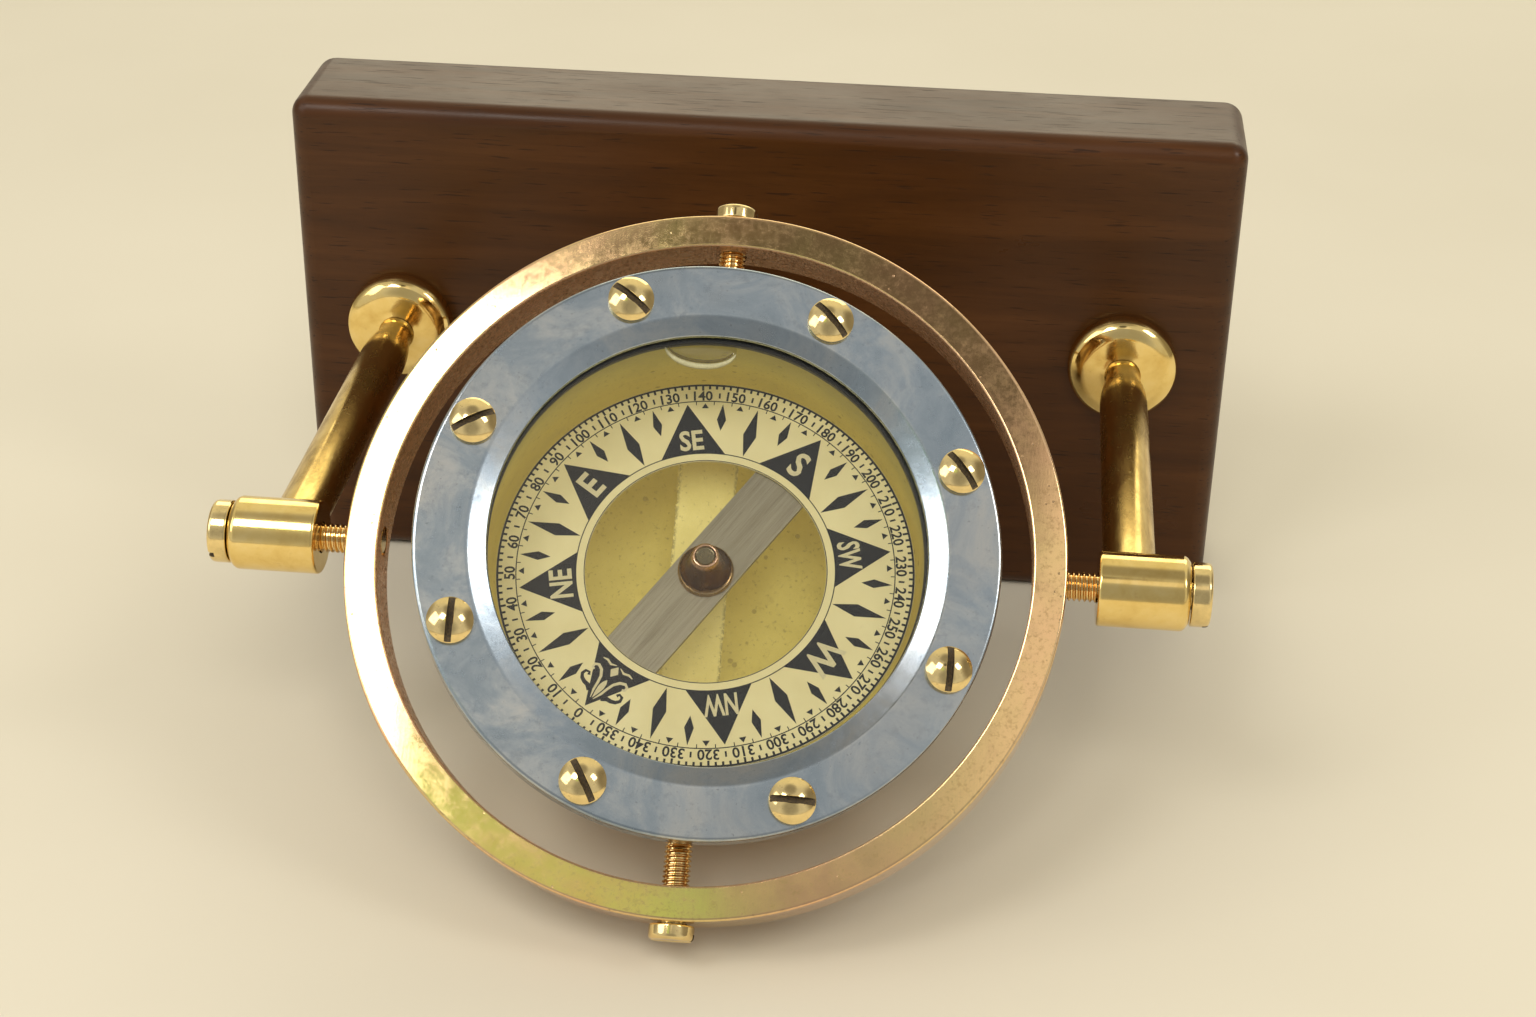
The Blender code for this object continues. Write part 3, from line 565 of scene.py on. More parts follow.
def bezel_nickel():
    """Grey nickel plate on the bezel: cloudy blue-grey patina, brighter where it is rubbed."""
    s = Surface("grey_nickel", metallic=1.0)
    clouds = s.noise(17.0, 7, 0.66, 0.8)
    mottle = s.noise(3.0, 5, 0.7)
    s.base(clouds, (0.30, (0.27, 0.33, 0.39)), (0.46, (0.36, 0.42, 0.48)),
           (0.58, (0.47, 0.51, 0.54)), (0.72, (0.56, 0.57, 0.56)))
    s.tint(s.step(mottle, 0.50, 0.72, 0.0, 0.45), (0.25, 0.29, 0.34))
    warm = s.step(s.noise(30.0, 3), 0.52, 0.68, 0.0, 0.16)
    s.tint(warm, (0.60, 0.54, 0.47))
    specks = s.step(s.noise(0.8, 2), 0.66, 0.76)
    s.tint(specks, (0.10, 0.11, 0.12), 0.35)
    turning = s.noise(0.28, 3, where=s.around_axis(12.0))
    rough = s.plus(s.step(clouds, 0.3, 0.7, 0.24, 0.14), s.step(mottle, 0.4, 0.7, 0.0, 0.07))
    s.relief(mottle, 0.03, 0.35)
    s.relief(turning, 0.006, 0.5)
    return s.finish(rough)


def bowl_paint():
    """Old olive-yellow paint inside the bowl, with stains, small bubbles and painted shade near the
    rim.

    A faint glow stands for the light that the liquid bends down into the bowl.
    """
    s = Surface("olive_yellow_paint", roughness=0.45)
    clouds = s.noise(16.0, 5, 0.6)
    s.base(clouds, (0.30, (0.62, 0.53, 0.135)), (0.52, (0.74, 0.645, 0.19)),
           (0.72, (0.80, 0.71, 0.235)))
    grains = s.step(s.noise(0.9, 4), 0.58, 0.74)
    s.tint(grains, (0.30, 0.23, 0.05), 0.60)
    stains = s.step(s.noise(5.0, 6, 0.7), 0.56, 0.74, 0.0, 0.35)
    s.tint(stains, (0.40, 0.30, 0.07))
    # painted shade: darker towards the rim, where the bezel and gasket shade the wall
    painted_rim_shade = s.plus(s.parts()[2], s.times(s.noise(9.0, 4), 6.0))
    s.tint(s.step(painted_rim_shade, -8.0, 6.0, 0.0, 0.60), (0.26, 0.215, 0.045))
    bubbles = s.step(s.spots(5.2), 0.13, 0.09)
    s.tint(bubbles, (0.30, 0.22, 0.05), 0.65)
    s.relief(s.noise(2.5, 4), 0.12, 0.4)
    s.relief(bubbles, 0.25, 0.5)
    return s.finish(s.step(clouds, 0.3, 0.7, 0.36, 0.55), Emission_Color=(0.62, 0.50, 0.12),
                    Emission_Strength=0.14)


def bridge_paint():
    """The bridge's paint: the bowl's olive yellow, made lighter and given a faint glow as painted
    light; thick and rough at its edges.
    """
    s = Surface("bridge_paint", roughness=0.5)
    clouds = s.noise(7.0, 5, 0.6)
    # painted light: a lighter tone than the bowl's paint, though the bridge is painted the same
    # yellow
    s.base(clouds, (0.30, (0.74, 0.63, 0.21)), (0.70, (0.84, 0.73, 0.28)))
    border = s.step(s.math("ABSOLUTE", s.parts()[0]), BRIDGE_HALF_WIDTH - 0.9,
                    BRIDGE_HALF_WIDTH - 0.2)
    grains = s.step(s.noise(0.8, 4), 0.60, 0.72)
    cracked = s.times(border, s.step(s.noise(0.7, 5, 0.7), 0.40, 0.56))
    grains = s.math("MAXIMUM", s.times(grains, 0.4), s.times(cracked, 0.8))
    s.tint(grains, (0.20, 0.155, 0.04))
    s.relief(s.noise(1.2, 4), 0.15, 0.5)
    # painted light: the glow stands for the light that the liquid bends down into the bowl
    return s.finish(0.5, Emission_Color=(0.70, 0.57, 0.16), Emission_Strength=0.16)


def bowl_outside():
    """The bowl's outside: dull bronze with brown patina."""
    s = Surface("bowl_bronze", metallic=1.0)
    clouds = s.noise(22.0, 6, 0.62, 0.5)
    s.base(clouds, (0.30, (0.36, 0.215, 0.10)), (0.52, (0.58, 0.385, 0.18)),
           (0.72, (0.70, 0.50, 0.25)))
    specks = s.step(s.noise(1.8, 5), 0.58, 0.74)
    s.tint(specks, (0.17, 0.10, 0.05), 0.5)
    turning = s.noise(0.35, 3, where=s.around_axis(14.0))
    rough = s.plus(s.step(clouds, 0.3, 0.7, 0.42, 0.27), s.times(specks, 0.12))
    s.relief(s.noise(6.0, 3), 0.08, 0.3)
    s.relief(turning, 0.012, 0.5)
    return s.finish(rough)


def gasket_rubber():
    s = Surface("black_rubber")
    mottle = s.noise(1.4, 4)
    s.base(mottle, (0.35, (0.008, 0.008, 0.007)), (0.75, (0.028, 0.026, 0.022)))
    s.relief(mottle, 0.05, 0.4)
    return s.finish(s.step(mottle, 0.3, 0.7, 0.30, 0.48))


def card_stock():
    """Cream card, yellowed in clouds, with faint brown spots and a fibre tooth."""
    s = Surface("cream_card", roughness=0.55)
    clouds = s.noise(14.0, 5, 0.6)
    s.base(clouds, (0.30, (0.80, 0.69, 0.35)), (0.70, (0.88, 0.78, 0.43)))
    stains = s.step(s.noise(8.0, 6, 0.75), 0.64, 0.80)
    s.tint(stains, (0.50, 0.33, 0.12), 0.35)
    fibre = s.noise(0.25, 3)
    s.relief(fibre, 0.006, 0.4)
    return s.finish(s.step(fibre, 0.3, 0.7, 0.50, 0.62))


def ink(name, dark, light):
    """Printing ink, a little uneven."""
    s = Surface(name, roughness=0.5)
    mottle = s.noise(0.5, 4, 0.7)
    s.base(mottle, (0.35, dark), (0.75, light))
    scuffs = s.step(s.noise(0.9, 5, 0.75), 0.66, 0.74, 0.0, 0.35)
    s.tint(scuffs, (0.40, 0.36, 0.24))
    return s.finish(s.step(mottle, 0.3, 0.7, 0.42, 0.58), Specular_IOR_Level=0.12)


def brushed_steel():
    """The magnet bar: grey steel brushed along its length."""
    s = Surface("brushed_steel", metallic=0.5)
    brushing = s.noise(0.40, 5, 0.7, where=s.stretched(0.03))
    bands = s.noise(4.0, 2, where=s.stretched(0.04))
    s.base(bands, (0.35, (0.35, 0.305, 0.215)), (0.65, (0.43, 0.38, 0.28)))
    s.tint(s.step(brushing, 0.44, 0.66, 0.0, 0.35), (0.54, 0.48, 0.37))
    s.tint(s.step(brushing, 0.47, 0.34, 0.0, 0.40), (0.20, 0.17, 0.12))
    rough = s.step(brushing, 0.3, 0.7, 0.30, 0.38)
    s.relief(brushing, 0.015, 0.5)
    return s.finish(rough)


def cap_copper():
    """The centre cap: dark brown copper, a bright rim round its dull crown and a lighter foot."""
    s = Surface("cap_copper", metallic=1.0)
    clouds = s.noise(2.6, 4)
    out = s.from_axis()
    s.base(clouds, (0.30, (0.15, 0.075, 0.022)), (0.70, (0.27, 0.15, 0.048)))
    s.tint(s.step(out, CAP_TOP - 0.50, CAP_TOP - 0.75), (0.33, 0.27, 0.16))
    rim = s.times(s.step(out, CAP_TOP - 0.80, CAP_TOP - 0.55),
                  s.step(out, CAP_TOP + 0.28, CAP_TOP + 0.05))
    s.tint(rim, (0.86, 0.55, 0.38))
    s.tint(s.step(out, CAP_BASE - 0.75, CAP_BASE - 0.35, 0.0, 0.7), (0.66, 0.48, 0.27))
    s.relief(s.noise(0.6, 3), 0.01, 0.3)
    return s.finish(s.step(clouds, 0.3, 0.7, 0.20, 0.30))


def jewel_ruby():
    s = Surface("jewel", roughness=0.08)
    mottle = s.noise(0.6, 3)
    s.base(mottle, (0.3, (0.42, 0.03, 0.06)), (0.7, (0.62, 0.08, 0.12)))
    return s.finish()


def clear_pane(name, tint, gloss_roughness, shine, mirrored=True):
    """Clear glass that lets light straight through; if mirrored, it shines at a glancing angle."""
    s = Surface(name)
    s.tree.nodes.remove(s.shader)
    if mirrored:
        shine = s.math("MAXIMUM", s.node("Fresnel", {"IOR": 1.5}), shine)
    tones = s.ramp(s.noise(20.0, 6, 0.7), (0.3, tint), (0.7, tuple(0.985 * part for part in tint)))
    through = s.node("BsdfTransparent", {"Color": tones})
    mirror = s.node("BsdfGlossy", {"Roughness": gloss_roughness, "Color": (1.0, 1.0, 1.0)})
    mixed = s.node("MixShader", {0: shine, 1: through, 2: mirror})
    s.feed(mixed, s.tree.nodes["Material Output"].inputs["Surface"])
    return s.material


WOOD = wood()
BRASS = polished_brass()
AGED_BRASS = aged_brass()
SCREW_BRASS = turned_brass("screw_brass", (0.93, 0.72, 0.34))
THREAD_BRASS = turned_brass("thread_brass", (0.80, 0.53, 0.22))
DARK_SLOT_COLOUR = slot_grime()
BRONZE = ring_bronze()
NICKEL = bezel_nickel()
PAINT = bowl_paint()
BRIDGE_PAINT = bridge_paint()
OUTSIDE = bowl_outside()
RUBBER = gasket_rubber()
CARD_STOCK = card_stock()
BLACK_INK = ink("black_ink", (0.012, 0.012, 0.014), (0.035, 0.034, 0.034))
CREAM_INK = ink("cream_ink", (0.66, 0.58, 0.34), (0.76, 0.68, 0.42))
STEEL = brushed_steel()
COPPER = cap_copper()
RUBY = jewel_ruby()
GLASS = clear_pane("clear_glass", (0.985, 0.99, 0.98), 0.02, 0.04)
GLASS_UNDER = clear_pane("clear_glass_under", (0.985, 0.99, 0.98), 0.05, 0.01, mirrored=False)
BUBBLE = clear_pane("air_bubble", (0.96, 0.95, 0.80), 0.06, 0.06, mirrored=False)
# painted light for the air bubble: a painted highlight along its edge and painted shade just inside
# it
BUBBLE_PAINTED_HIGHLIGHT = ink("bubble_painted_highlight", (0.66, 0.60, 0.34), (0.84, 0.78, 0.52))
BUBBLE_PAINTED_SHADE = ink("bubble_painted_shade", (0.14, 0.10, 0.02), (0.22, 0.17, 0.045))


# ---------------------------------------------------------------- board and arms
def board():
    low, high = box("base_board")
    size, centre = high - low, (low + high) / 2
    tools = []
    for side in ("left", "right"):
        rod_low, rod_high = box(f"arm_rod_{side}")
        middle = (rod_low + rod_high) / 2 - centre
        for radius, start in ((STUD_RADIUS + SEAM, -40),
                              (NUT_POCKET_RADIUS, size.y / 2 - NUT_POCKET_DEPTH)):
            tools.append(moved(rod(radius, start, 40, 64), at(middle.x, 0, middle.z) @ TO_Y))
    piece("wooden_board", block(*size, BOARD_ROUND, 8), shift(*centre), WOOD, "base", "mahogany",
          "base_board", cuts=tools)


def slot_tool(width, depth, length, top, turn=0.0):
    """A screwdriver slot across a head that ends at height top, with slightly flared edges."""
    half, flare = width / 2, 0.18
    wide = half + 2 * flare
    shape = prism([(-half, -depth), (half, -depth), (half, -flare), (wide, flare), (wide, 2.0),
                   (-wide, 2.0), (-wide, flare), (-half, -flare)], -length, length)
    return moved(shape, at(z=top) @ about_z(turn) @ TO_MINUS_Y)


def arm(side):
    """Rosette, necked rod, cross head, washer and nut of one arm."""
    def brass(name, shape, place, node, material=SCREW_BRASS, **tools):
        piece(f"{name}_{side}", shape, place, material, "base", "polished_brass",
              f"{node}_{side}", **tools)

    (low, high), (head_low, head_high) = box(f"arm_rod_{side}"), box(f"pivot_head_{side}")
    x, z, front = (low.x + high.x) / 2, (low.z + high.z) / 2, box("base_board")[0].y
    on_board = shift(x, front, z) @ TO_MINUS_Y
    bore, head_bore = STUD_RADIUS + SEAM, GIMBAL_SHANK + SEAM
    brass("rosette_disc",
          turned([(bore, 7.2), (4.3, 7.2, 0.3), (5.4, 7.0, 0.6), (10.6, 6.5, 2.0),
                  (13.2, 4.6, 2.4), (13.25, 0.9, 0.6), (12.7, 0.3), (bore, 0.3)], 160, True),
          on_board, "rosette", BRASS)

    reach, neck, stud_end = front - GIMBAL.y / MM, 7.5, front - high.y
    shaft = turned([(0, reach), (ROD_RADIUS, reach), (ROD_RADIUS, neck + 12.0, 6.0),
                    (NECK_RADIUS + 0.25, neck + 3.4, 3.0), (NECK_RADIUS + 0.1, neck + 1.0, 0.6),
                    (NECK_RADIUS + 0.5, neck), (STUD_RADIUS, neck), (STUD_RADIUS, stud_end, 0.5),
                    (0, stud_end)], 96)
    saddle = moved(rod(HEAD_RADIUS + 0.06, -30, 30, 160), at(z=reach) @ TO_X)
    brass("arm_shaft", shaft, on_board, "arm_rod", AGED_BRASS, cuts=[saddle])
    brass("cross_head",
          turned([(head_bore, HEAD_HALF), (HEAD_RADIUS - 1.3, HEAD_HALF, 0.25),
                  (HEAD_RADIUS, HEAD_HALF - 1.0, 0.9), (HEAD_RADIUS, -HEAD_HALF, 0.7),
                  (head_bore, -HEAD_HALF)], 128, True),
          shift((head_low.x + head_high.x) / 2, GIMBAL.y / MM, z)
          @ (TO_X if x > 0 else TO_MINUS_X), "pivot_head", BRASS)

    brass("stud_washer", turned([(bore, 1.0), (7.5, 1.0, 0.3), (7.5, 0, 0.3), (bore, 0)], 64, True),
          shift(x, box(f"arm_washer_{side}")[0].y, z) @ TO_Y, "arm_washer")
    crown = lathe([(0, 5.0), (5.4, 5.0), (6.5, 4.3), (6.5, 0.7), (5.4, 0), (0, 0)], 96)
    brass("stud_nut", prism([polar(6.4, 60 * i) for i in range(6)], 0, 5.0),
          shift(x, box(f"arm_nut_{side}")[0].y, z) @ TO_Y, "arm_nut", cuts=[rod(bore, -9, 9)],
          within=[crown])


# ---------------------------------------------------------------- gimbal ring and its screws
def gimbal_ring():
    half, middle = RING_HALF, (RING_OUTER + RING_INNER) / 2
    holes = [moved(rod(shank + 0.15, -10, 10), at(*polar(middle, turn)) @ about_z(turn) @ TO_X)
             for shank, turn in ((GIMBAL_SHANK, 0), (GIMBAL_SHANK, 180), (BOWL_SHANK, 90),
                                 (BOWL_SHANK, 270))]
    piece("gimbal_hoop",
          turned([(RING_OUTER, half, 0.7), (RING_OUTER, -half, 0.7), (RING_INNER, -half, 0.6),
                  (RING_INNER, half, 0.5)], 288, True, 3),
          RING_FRAME, BRONZE, "ring", "worn_bronze", "gimbal_ring", cuts=holes)


def in_slot(head, bottom, top):
    """A test for the faces of a screwdriver slot: its floor and its walls."""
    return lambda middle, normal: (hypot(*middle.xy) < head - 0.15
                                   and bottom - 0.02 < middle.z < top
                                   and (abs(normal.z) < 0.2 or middle.z < bottom + 0.02))


def slotted_screw(name, node, place, head, head_length, seat, tip, thread_span, shank, pitch,
                  turn):
    """A cheese-head screw along its frame's Z, its head's underside at height seat."""
    core, top = shank - THREAD_DEPTH + 0.05, seat + head_length
    body = turned([(0, top), (head, top, 1.1), (head, seat, 0.5), (core, seat), (core, tip, 0.4),
                   (0, tip)], 72)
    piece(name, body, place, SCREW_BRASS, "ring", "polished_brass", node,
          cuts=[slot_tool(SLOT_WIDTH, PIN_SLOT_DEPTH, 9.0, top, turn)],
          inner=(DARK_SLOT_COLOUR, in_slot(head, top - PIN_SLOT_DEPTH, top)))
    piece(f"{name}_thread", thread(shank, THREAD_DEPTH, pitch, *thread_span), place,
          THREAD_BRASS, "ring", "polished_brass")


def gimbal_screws():
    for side, place, turn in (("left", TO_MINUS_X, 25), ("right", TO_X, 4)):
        inner, outer = sorted(abs(corner.x) for corner in box(f"pivot_head_{side}"))
        slotted_screw(f"gimbal_pin_{side}", f"gimbal_screw_{side}", RING_FRAME @ place,
                      GIMBAL_HEAD_RADIUS, GIMBAL_HEAD_LENGTH, outer + SEAM,
                      RING_INNER + 0.1, (RING_INNER + 0.4, inner + 5.0), GIMBAL_SHANK,
                      GIMBAL_PITCH, turn)


def bowl_screws():
    for side, place, turn in (("top", TO_Y, 88), ("bottom", TO_MINUS_Y, 94)):
        slotted_screw(f"bowl_pin_{side}", f"bowl_screw_{side}", RING_FRAME @ place,
                      BOWL_SCREW_RADIUS, BOWL_SCREW_LENGTH, RING_OUTER + SEAM,
                      BOWL_OUTER + 0.4, (BOSS_REACH - 3.0, RING_OUTER - 1.0), BOWL_SHANK,
                      BOWL_PITCH, turn)


# ---------------------------------------------------------------- bowl
def bowl_shell():
    floor = BOWL_WALL - BOWL_DEPTH
    inner_corner = BOWL_CORNER - BOWL_WALL
    outline = [*rounded([(SEAT_RADIUS, SEAT_LEVEL), (SEAT_RADIUS, FLANGE_TOP),
                         (FLANGE_OUTER, FLANGE_TOP, 0.4), (FLANGE_OUTER, FLANGE_UNDER, 0.5),
                         (BOWL_OUTER, FLANGE_UNDER, 1.6), (BOWL_OUTER, -5.0)])[:-1],
               *arc((BOWL_OUTER - BOWL_CORNER, BOWL_CORNER - BOWL_DEPTH), BOWL_CORNER, 0, -90, 14),
               (EXPANSION_HOLE, -BOWL_DEPTH), (EXPANSION_HOLE, floor),
               *arc((BOWL_INNER - inner_corner, floor + inner_corner), inner_corner, -90, 0, 10),
               (BOWL_INNER, SEAT_LEVEL)]
    bosses, bores = [], []
    for turn in (90, 270):
        boss_frame = about_z(turn) @ TO_X
        boss = turned([(0, BOSS_REACH), (BOSS_RADIUS, BOSS_REACH, 0.6),
                       (BOSS_RADIUS, BOWL_INNER + 1.0), (0, BOWL_INNER + 1.0)], 64)
        bosses.append(moved(boss, boss_frame))
        bores.append(moved(rod(BOWL_SHANK + 0.15, BOWL_OUTER - 0.3, BOSS_REACH + 5), boss_frame))
    piece("compass_bowl", lathe(outline, 192, closed=True), BOWL_FRAME, OUTSIDE, "bowl",
          "worn_bronze", "bowl", joins=bosses, cuts=bores,
          inner=(PAINT, lambda middle, normal: hypot(*middle.xy) < BOWL_INNER + 0.05
                 and middle.z > floor - 0.05
                 and (normal.z > 0.01 or normal.xy.dot(middle.xy) < 0)))


def bezel():
    under = FLANGE_TOP + SEAM
    holes = [moved(rod(2.5, -20, 20, 32), at(*polar(BEZEL_SCREW_CIRCLE, turn)))
             for turn in BEZEL_TURNS]
    piece("bezel_plate",
          turned([(BEZEL_OUTER, BEZEL_FACE, 0.9), (BEZEL_OUTER, under, 0.4), (SEAT_RADIUS, under),
                  (SEAT_RADIUS, BEZEL_LIP_UNDER), (BEZEL_OPENING, BEZEL_LIP_UNDER, 0.2),
                  (BEZEL_OPENING, BEZEL_LIP, 0.35), (BEZEL_STEP, BEZEL_FACE, 0.5)], 288, True, 4),
          BOWL_FRAME, NICKEL, "bowl", "grey_nickel", "bezel", cuts=[joined(*holes)])


def bezel_screws():
    head, top, skirt, length = BEZEL_SCREW_HEAD, BEZEL_SCREW_DOME, 1.1, 11.0
    rise = top - skirt
    radius = (head ** 2 + rise ** 2) / (2 * rise)
    dome = arc((0, top - radius), radius, 90, 90 - degrees(acos((radius - rise) / radius)), 9)
    outline = [*dome[:-1], *rounded([dome[-1], (head, skirt, 0.35), (head, 0.0, 0.3), (2.2, 0.0),
                                     (2.2, -length), (0, -length)])[1:]]
    for number, (turn, slot_turn) in enumerate(zip(BEZEL_TURNS, BEZEL_SLOTS), 1):
        place = BOWL_FRAME @ shift(*polar(BEZEL_SCREW_CIRCLE, turn), BEZEL_FACE + 0.05)
        slot = slot_tool(SLOT_WIDTH, BEZEL_SLOT_DEPTH, 9.0, top, slot_turn - QUARTER)
        piece(f"bezel_fastener_{number}", lathe(outline, 64), place, SCREW_BRASS, "bowl",
              "polished_brass", f"bezel_screw_{number}", cuts=[slot],
              inner=(DARK_SLOT_COLOUR, in_slot(head, top - BEZEL_SLOT_DEPTH, top)))


def glazing():
    seat, top, bottom, under = (SEAT_RADIUS - SEAM, BEZEL_LIP_UNDER - SEAM, FLANGE_TOP + SEAM,
                                SEAT_LEVEL + SEAM)
    piece("cover_glass",
          turned([(0, top), (seat, top, 0.3), (seat, bottom, 0.3), (0, bottom)], 160),
          BOWL_FRAME, GLASS, "bowl", "clear_glass", "glass",
          inner=(GLASS_UNDER, lambda middle, normal: normal.z < 0.5))
    piece("rubber_gasket",
          turned([(seat, FLANGE_TOP, 0.3), (seat, under, 0.3), (GASKET_INNER, under, 0.5),
                  (GASKET_INNER, FLANGE_TOP, 0.4)], 192, True),
          BOWL_FRAME, RUBBER, "bowl", "black_rubber", "gasket")


def heading_at(path, i):
    """The direction of a path of points at its point i."""
    return Vector(path[min(i + 1, len(path) - 1)]) - Vector(path[max(i - 1, 0)])


def tube(path, radii, sides=12):
    """A round tube along points, closed at both ends."""
    shape = bmesh.new()
    rows = []
    for i, (point, radius) in enumerate(zip(path, radii)):
        turn = Vector((0, 0, 1)).rotation_difference(heading_at(path, i)).to_matrix()
        rows.append(circle(shape, radius, 0.0, sides))
        for vert in rows[-1]:
            vert.co = Vector(point) + turn @ vert.co
    return facing_out(skin(shape, rows, capped=True))


def bubble():
    """The flat air bubble that sits against the glass at the bowl's highest point."""
    middle, half_long, half_short, reach = Vector((-5.4, 44.4)), 7.7, 4.3, 45.8
    shape = bmesh.new()
    bmesh.ops.create_uvsphere(shape, u_segments=64, v_segments=24, radius=1.0)
    for vert in shape.verts:
        x, y, z = vert.co
        spot = Vector((half_long * x, half_short * y)) + middle
        if spot.length > reach:
            spot *= reach / spot.length
        vert.co = (spot.x, spot.y, 8.5 + 0.95 * z)
    piece("air_bubble", shape, BOWL_FRAME, BUBBLE, "bowl", "clear_glass")
    # two thin arcs of painted light on the bubble's side towards the bowl's middle: a bright
    # painted highlight and, inside it, dark painted shade
    for name, inset, level, thick, material in (("bubble_edge", 0.15, 8.7, 0.55, BUBBLE_PAINTED_HIGHLIGHT),
                                                ("bubble_shade", 1.25, 8.9, 0.26, BUBBLE_PAINTED_SHADE)):
        turns = [radians(190 + 4 * i) for i in range(41)]
        path = [(middle.x + (half_long - inset * 0.6) * cos(turn),
                 middle.y + (half_short - inset) * sin(turn), level) for turn in turns]
        radii = [0.08 + thick * sin(pi * i / 40) ** 0.6 for i in range(41)]
        piece(name, tube(path, radii), BOWL_FRAME, material, "bowl", "clear_glass")


def small_screw(name, node, spot, corners, slot):
    """One of the bowl's small brass screws; corners is its outline from the top down."""
    piece(name, turned(corners, 40), BOWL_FRAME @ shift(*spot), SCREW_BRASS, "bowl",
          "polished_brass", node, cuts=[slot])


def bottom():
    top = -BOWL_DEPTH - SEAM
    spots = [polar(COVER_SCREW_CIRCLE, 60 * i) for i in range(6)]
    sinks = [moved(rod(2.6, top - 9, top - 4.3, 32), at(x, y)) for x, y in spots]
    cover = turned([(1.5, top - 3.9), (24.0, top - 3.9), (24.0, top - 1.1), (26.8, top - 1.1),
                    (26.8, top), (COVER_RADIUS, top, 0.3), (COVER_RADIUS, top - 6.3, 1.6),
                    (1.5, top - 6.3, 0.3)], 160, True)
    piece("vented_cover", cover, BOWL_FRAME, OUTSIDE, "bowl", "worn_bronze", "bottom_cover",
          cuts=[joined(*sinks)])
    waves = [(DIAPHRAGM_REACH * i / 48, top + 0.6 * (cos(4 * pi * i / 48) - 1)) for i in range(49)]
    sheet = [*waves, (26.5, top), (26.5, top - 0.8),
             *[(radius, level - 0.8) for radius, level in reversed(waves)]]
    piece("corrugated_diaphragm", lathe(sheet, 128), BOWL_FRAME, SCREW_BRASS, "bowl",
          "polished_brass", "expansion_diaphragm")
    for number, (x, y) in enumerate(spots, 1):
        small_screw(f"cover_fastener_{number}", f"cover_screw_{number}", (x, y, top - 4.0),
                    [(0, 5.0), (1.2, 5.0), (1.2, -0.4), (2.3, -0.4, 0.2), (2.3, -1.35, 0.3),
                     (0, -1.35)],
                    moved(slot_tool(0.6, 0.5, 5.0, 1.35, 40 * number), Matrix.Rotation(pi, 4, "X")))


def filler():
    place = BOWL_FRAME @ shift(-BOWL_OUTER, 0, FILLER_LEVEL) @ TO_MINUS_X
    piece("filler_seal",
          turned([(3.3, 1.3), (5.2, 1.3, 0.3), (5.2, 0.3, 0.3), (3.3, 0.3)], 64, True),
          place, RUBBER, "bowl", "black_rubber", "filler_washer")
    piece("filler_cap",
          turned([(0, 4.5), (5.0, 4.5, 0.8), (5.0, 1.6, 0.2), (3.0, 1.6), (3.0, -3.0), (0, -3.0)],
                 72), place, SCREW_BRASS, "bowl", "polished_brass", "filler_plug",
          cuts=[slot_tool(1.2, 1.2, 9.0, 4.5, 15)])


def bridge():
    """The strip across the bowl, its edges uneven with old paint, its screws and the needle."""
    half, wide, sheet, level = BRIDGE_HALF_SPAN, BRIDGE_HALF_WIDTH, BRIDGE_SHEET, BRIDGE_LEVEL
    foot = BOWL_WALL - BOWL_DEPTH + SEAM
    steps = 60
    shape = bmesh.new()
    rows = []
    for i in range(steps + 1):
        y = -half + 2 * half * i / steps
        left, right = (side + 0.45 * noise.noise(Vector((0.0, y * 0.55, seed)))
                       for side, seed in ((-wide, 3.0), (wide, 9.0)))
        rows.append([shape.verts.new((x, y, z)) for x, z in
                     ((left, level - 0.25), (left + 0.35, level), (right - 0.35, level),
                      (right, level - 0.25), (right, level - sheet), (left, level - sheet))])
    facing_out(skin(shape, rows, capped=True))
    legs = []
    for side in (-1, 1):
        for depth, height, y, z in (
                (sheet, level - 0.2 - foot, half - sheet / 2, (level - 0.2 + foot) / 2),
                (8.3, sheet, half - 4.25, foot + sheet / 2)):
            legs.append(moved(block(2 * wide - 0.8, depth, height, 0.3), at(0, side * y, z)))
    piece("bridge_strip", joined(shape, *legs), BOWL_FRAME, BRIDGE_PAINT, "bowl",
          "olive_yellow_paint", "pivot_bridge")
    for number, side in enumerate((1, -1), 1):
        small_screw(f"bridge_fastener_{number}", f"bridge_screw_{number}",
                    (0, side * 30.0, foot + sheet + SEAM),
                    [(0, 1.4), (2.4, 1.4, 0.7), (2.4, 0, 0.2), (1.2, 0), (1.2, -3.4), (0, -3.4)],
                    slot_tool(0.7, 0.6, 5.0, 1.4, 30 * number))
    point, post_top = 1.6, -10.4
    piece("needle_post",
          turned([(0, post_top), (1.2, post_top), (2.0, post_top - 1.5, 0.5),
                  (2.0, level + 1.5, 0.8), (3.4, level + SEAM), (0, level + SEAM)], 64),
          BOWL_FRAME, SCREW_BRASS, "bowl", "polished_brass", "pivot_post")
    piece("needle", lathe([(0, point - 0.1), (0.12, point - 0.4), (0.5, point - 2.5),
                           (0.5, post_top + 0.1), (0, post_top + 0.1)], 32), BOWL_FRAME, STEEL,
          "bowl", "bright_steel", "pivot_needle")


# ---------------------------------------------------------------- card
CARD_TOP = -CARD_DROP + CARD_THICKNESS / 2
BLACK = CARD_TOP + 0.01, CARD_TOP + 0.03            # levels of the black print
CREAM = CARD_TOP + 0.035, CARD_TOP + 0.05           # levels of the cream print over it


def card_point(radius_share, heading):
    """A point on the card, by its share of the radius and its heading clockwise from north."""
    return polar(CARD_RADIUS * radius_share, CARD_NORTH - heading)


def annulus(shape, inner, outer, sides=240):
    """Adds a thin printed circle between two shares of the card's radius."""
    low, high = BLACK
    rows = [[shape.verts.new((*card_point(share, 360 * i / sides), level)) for i in range(sides)]
            for share, level in ((outer, low), (outer, high), (inner, high), (inner, low))]
    skin(shape, rows, closed=True)


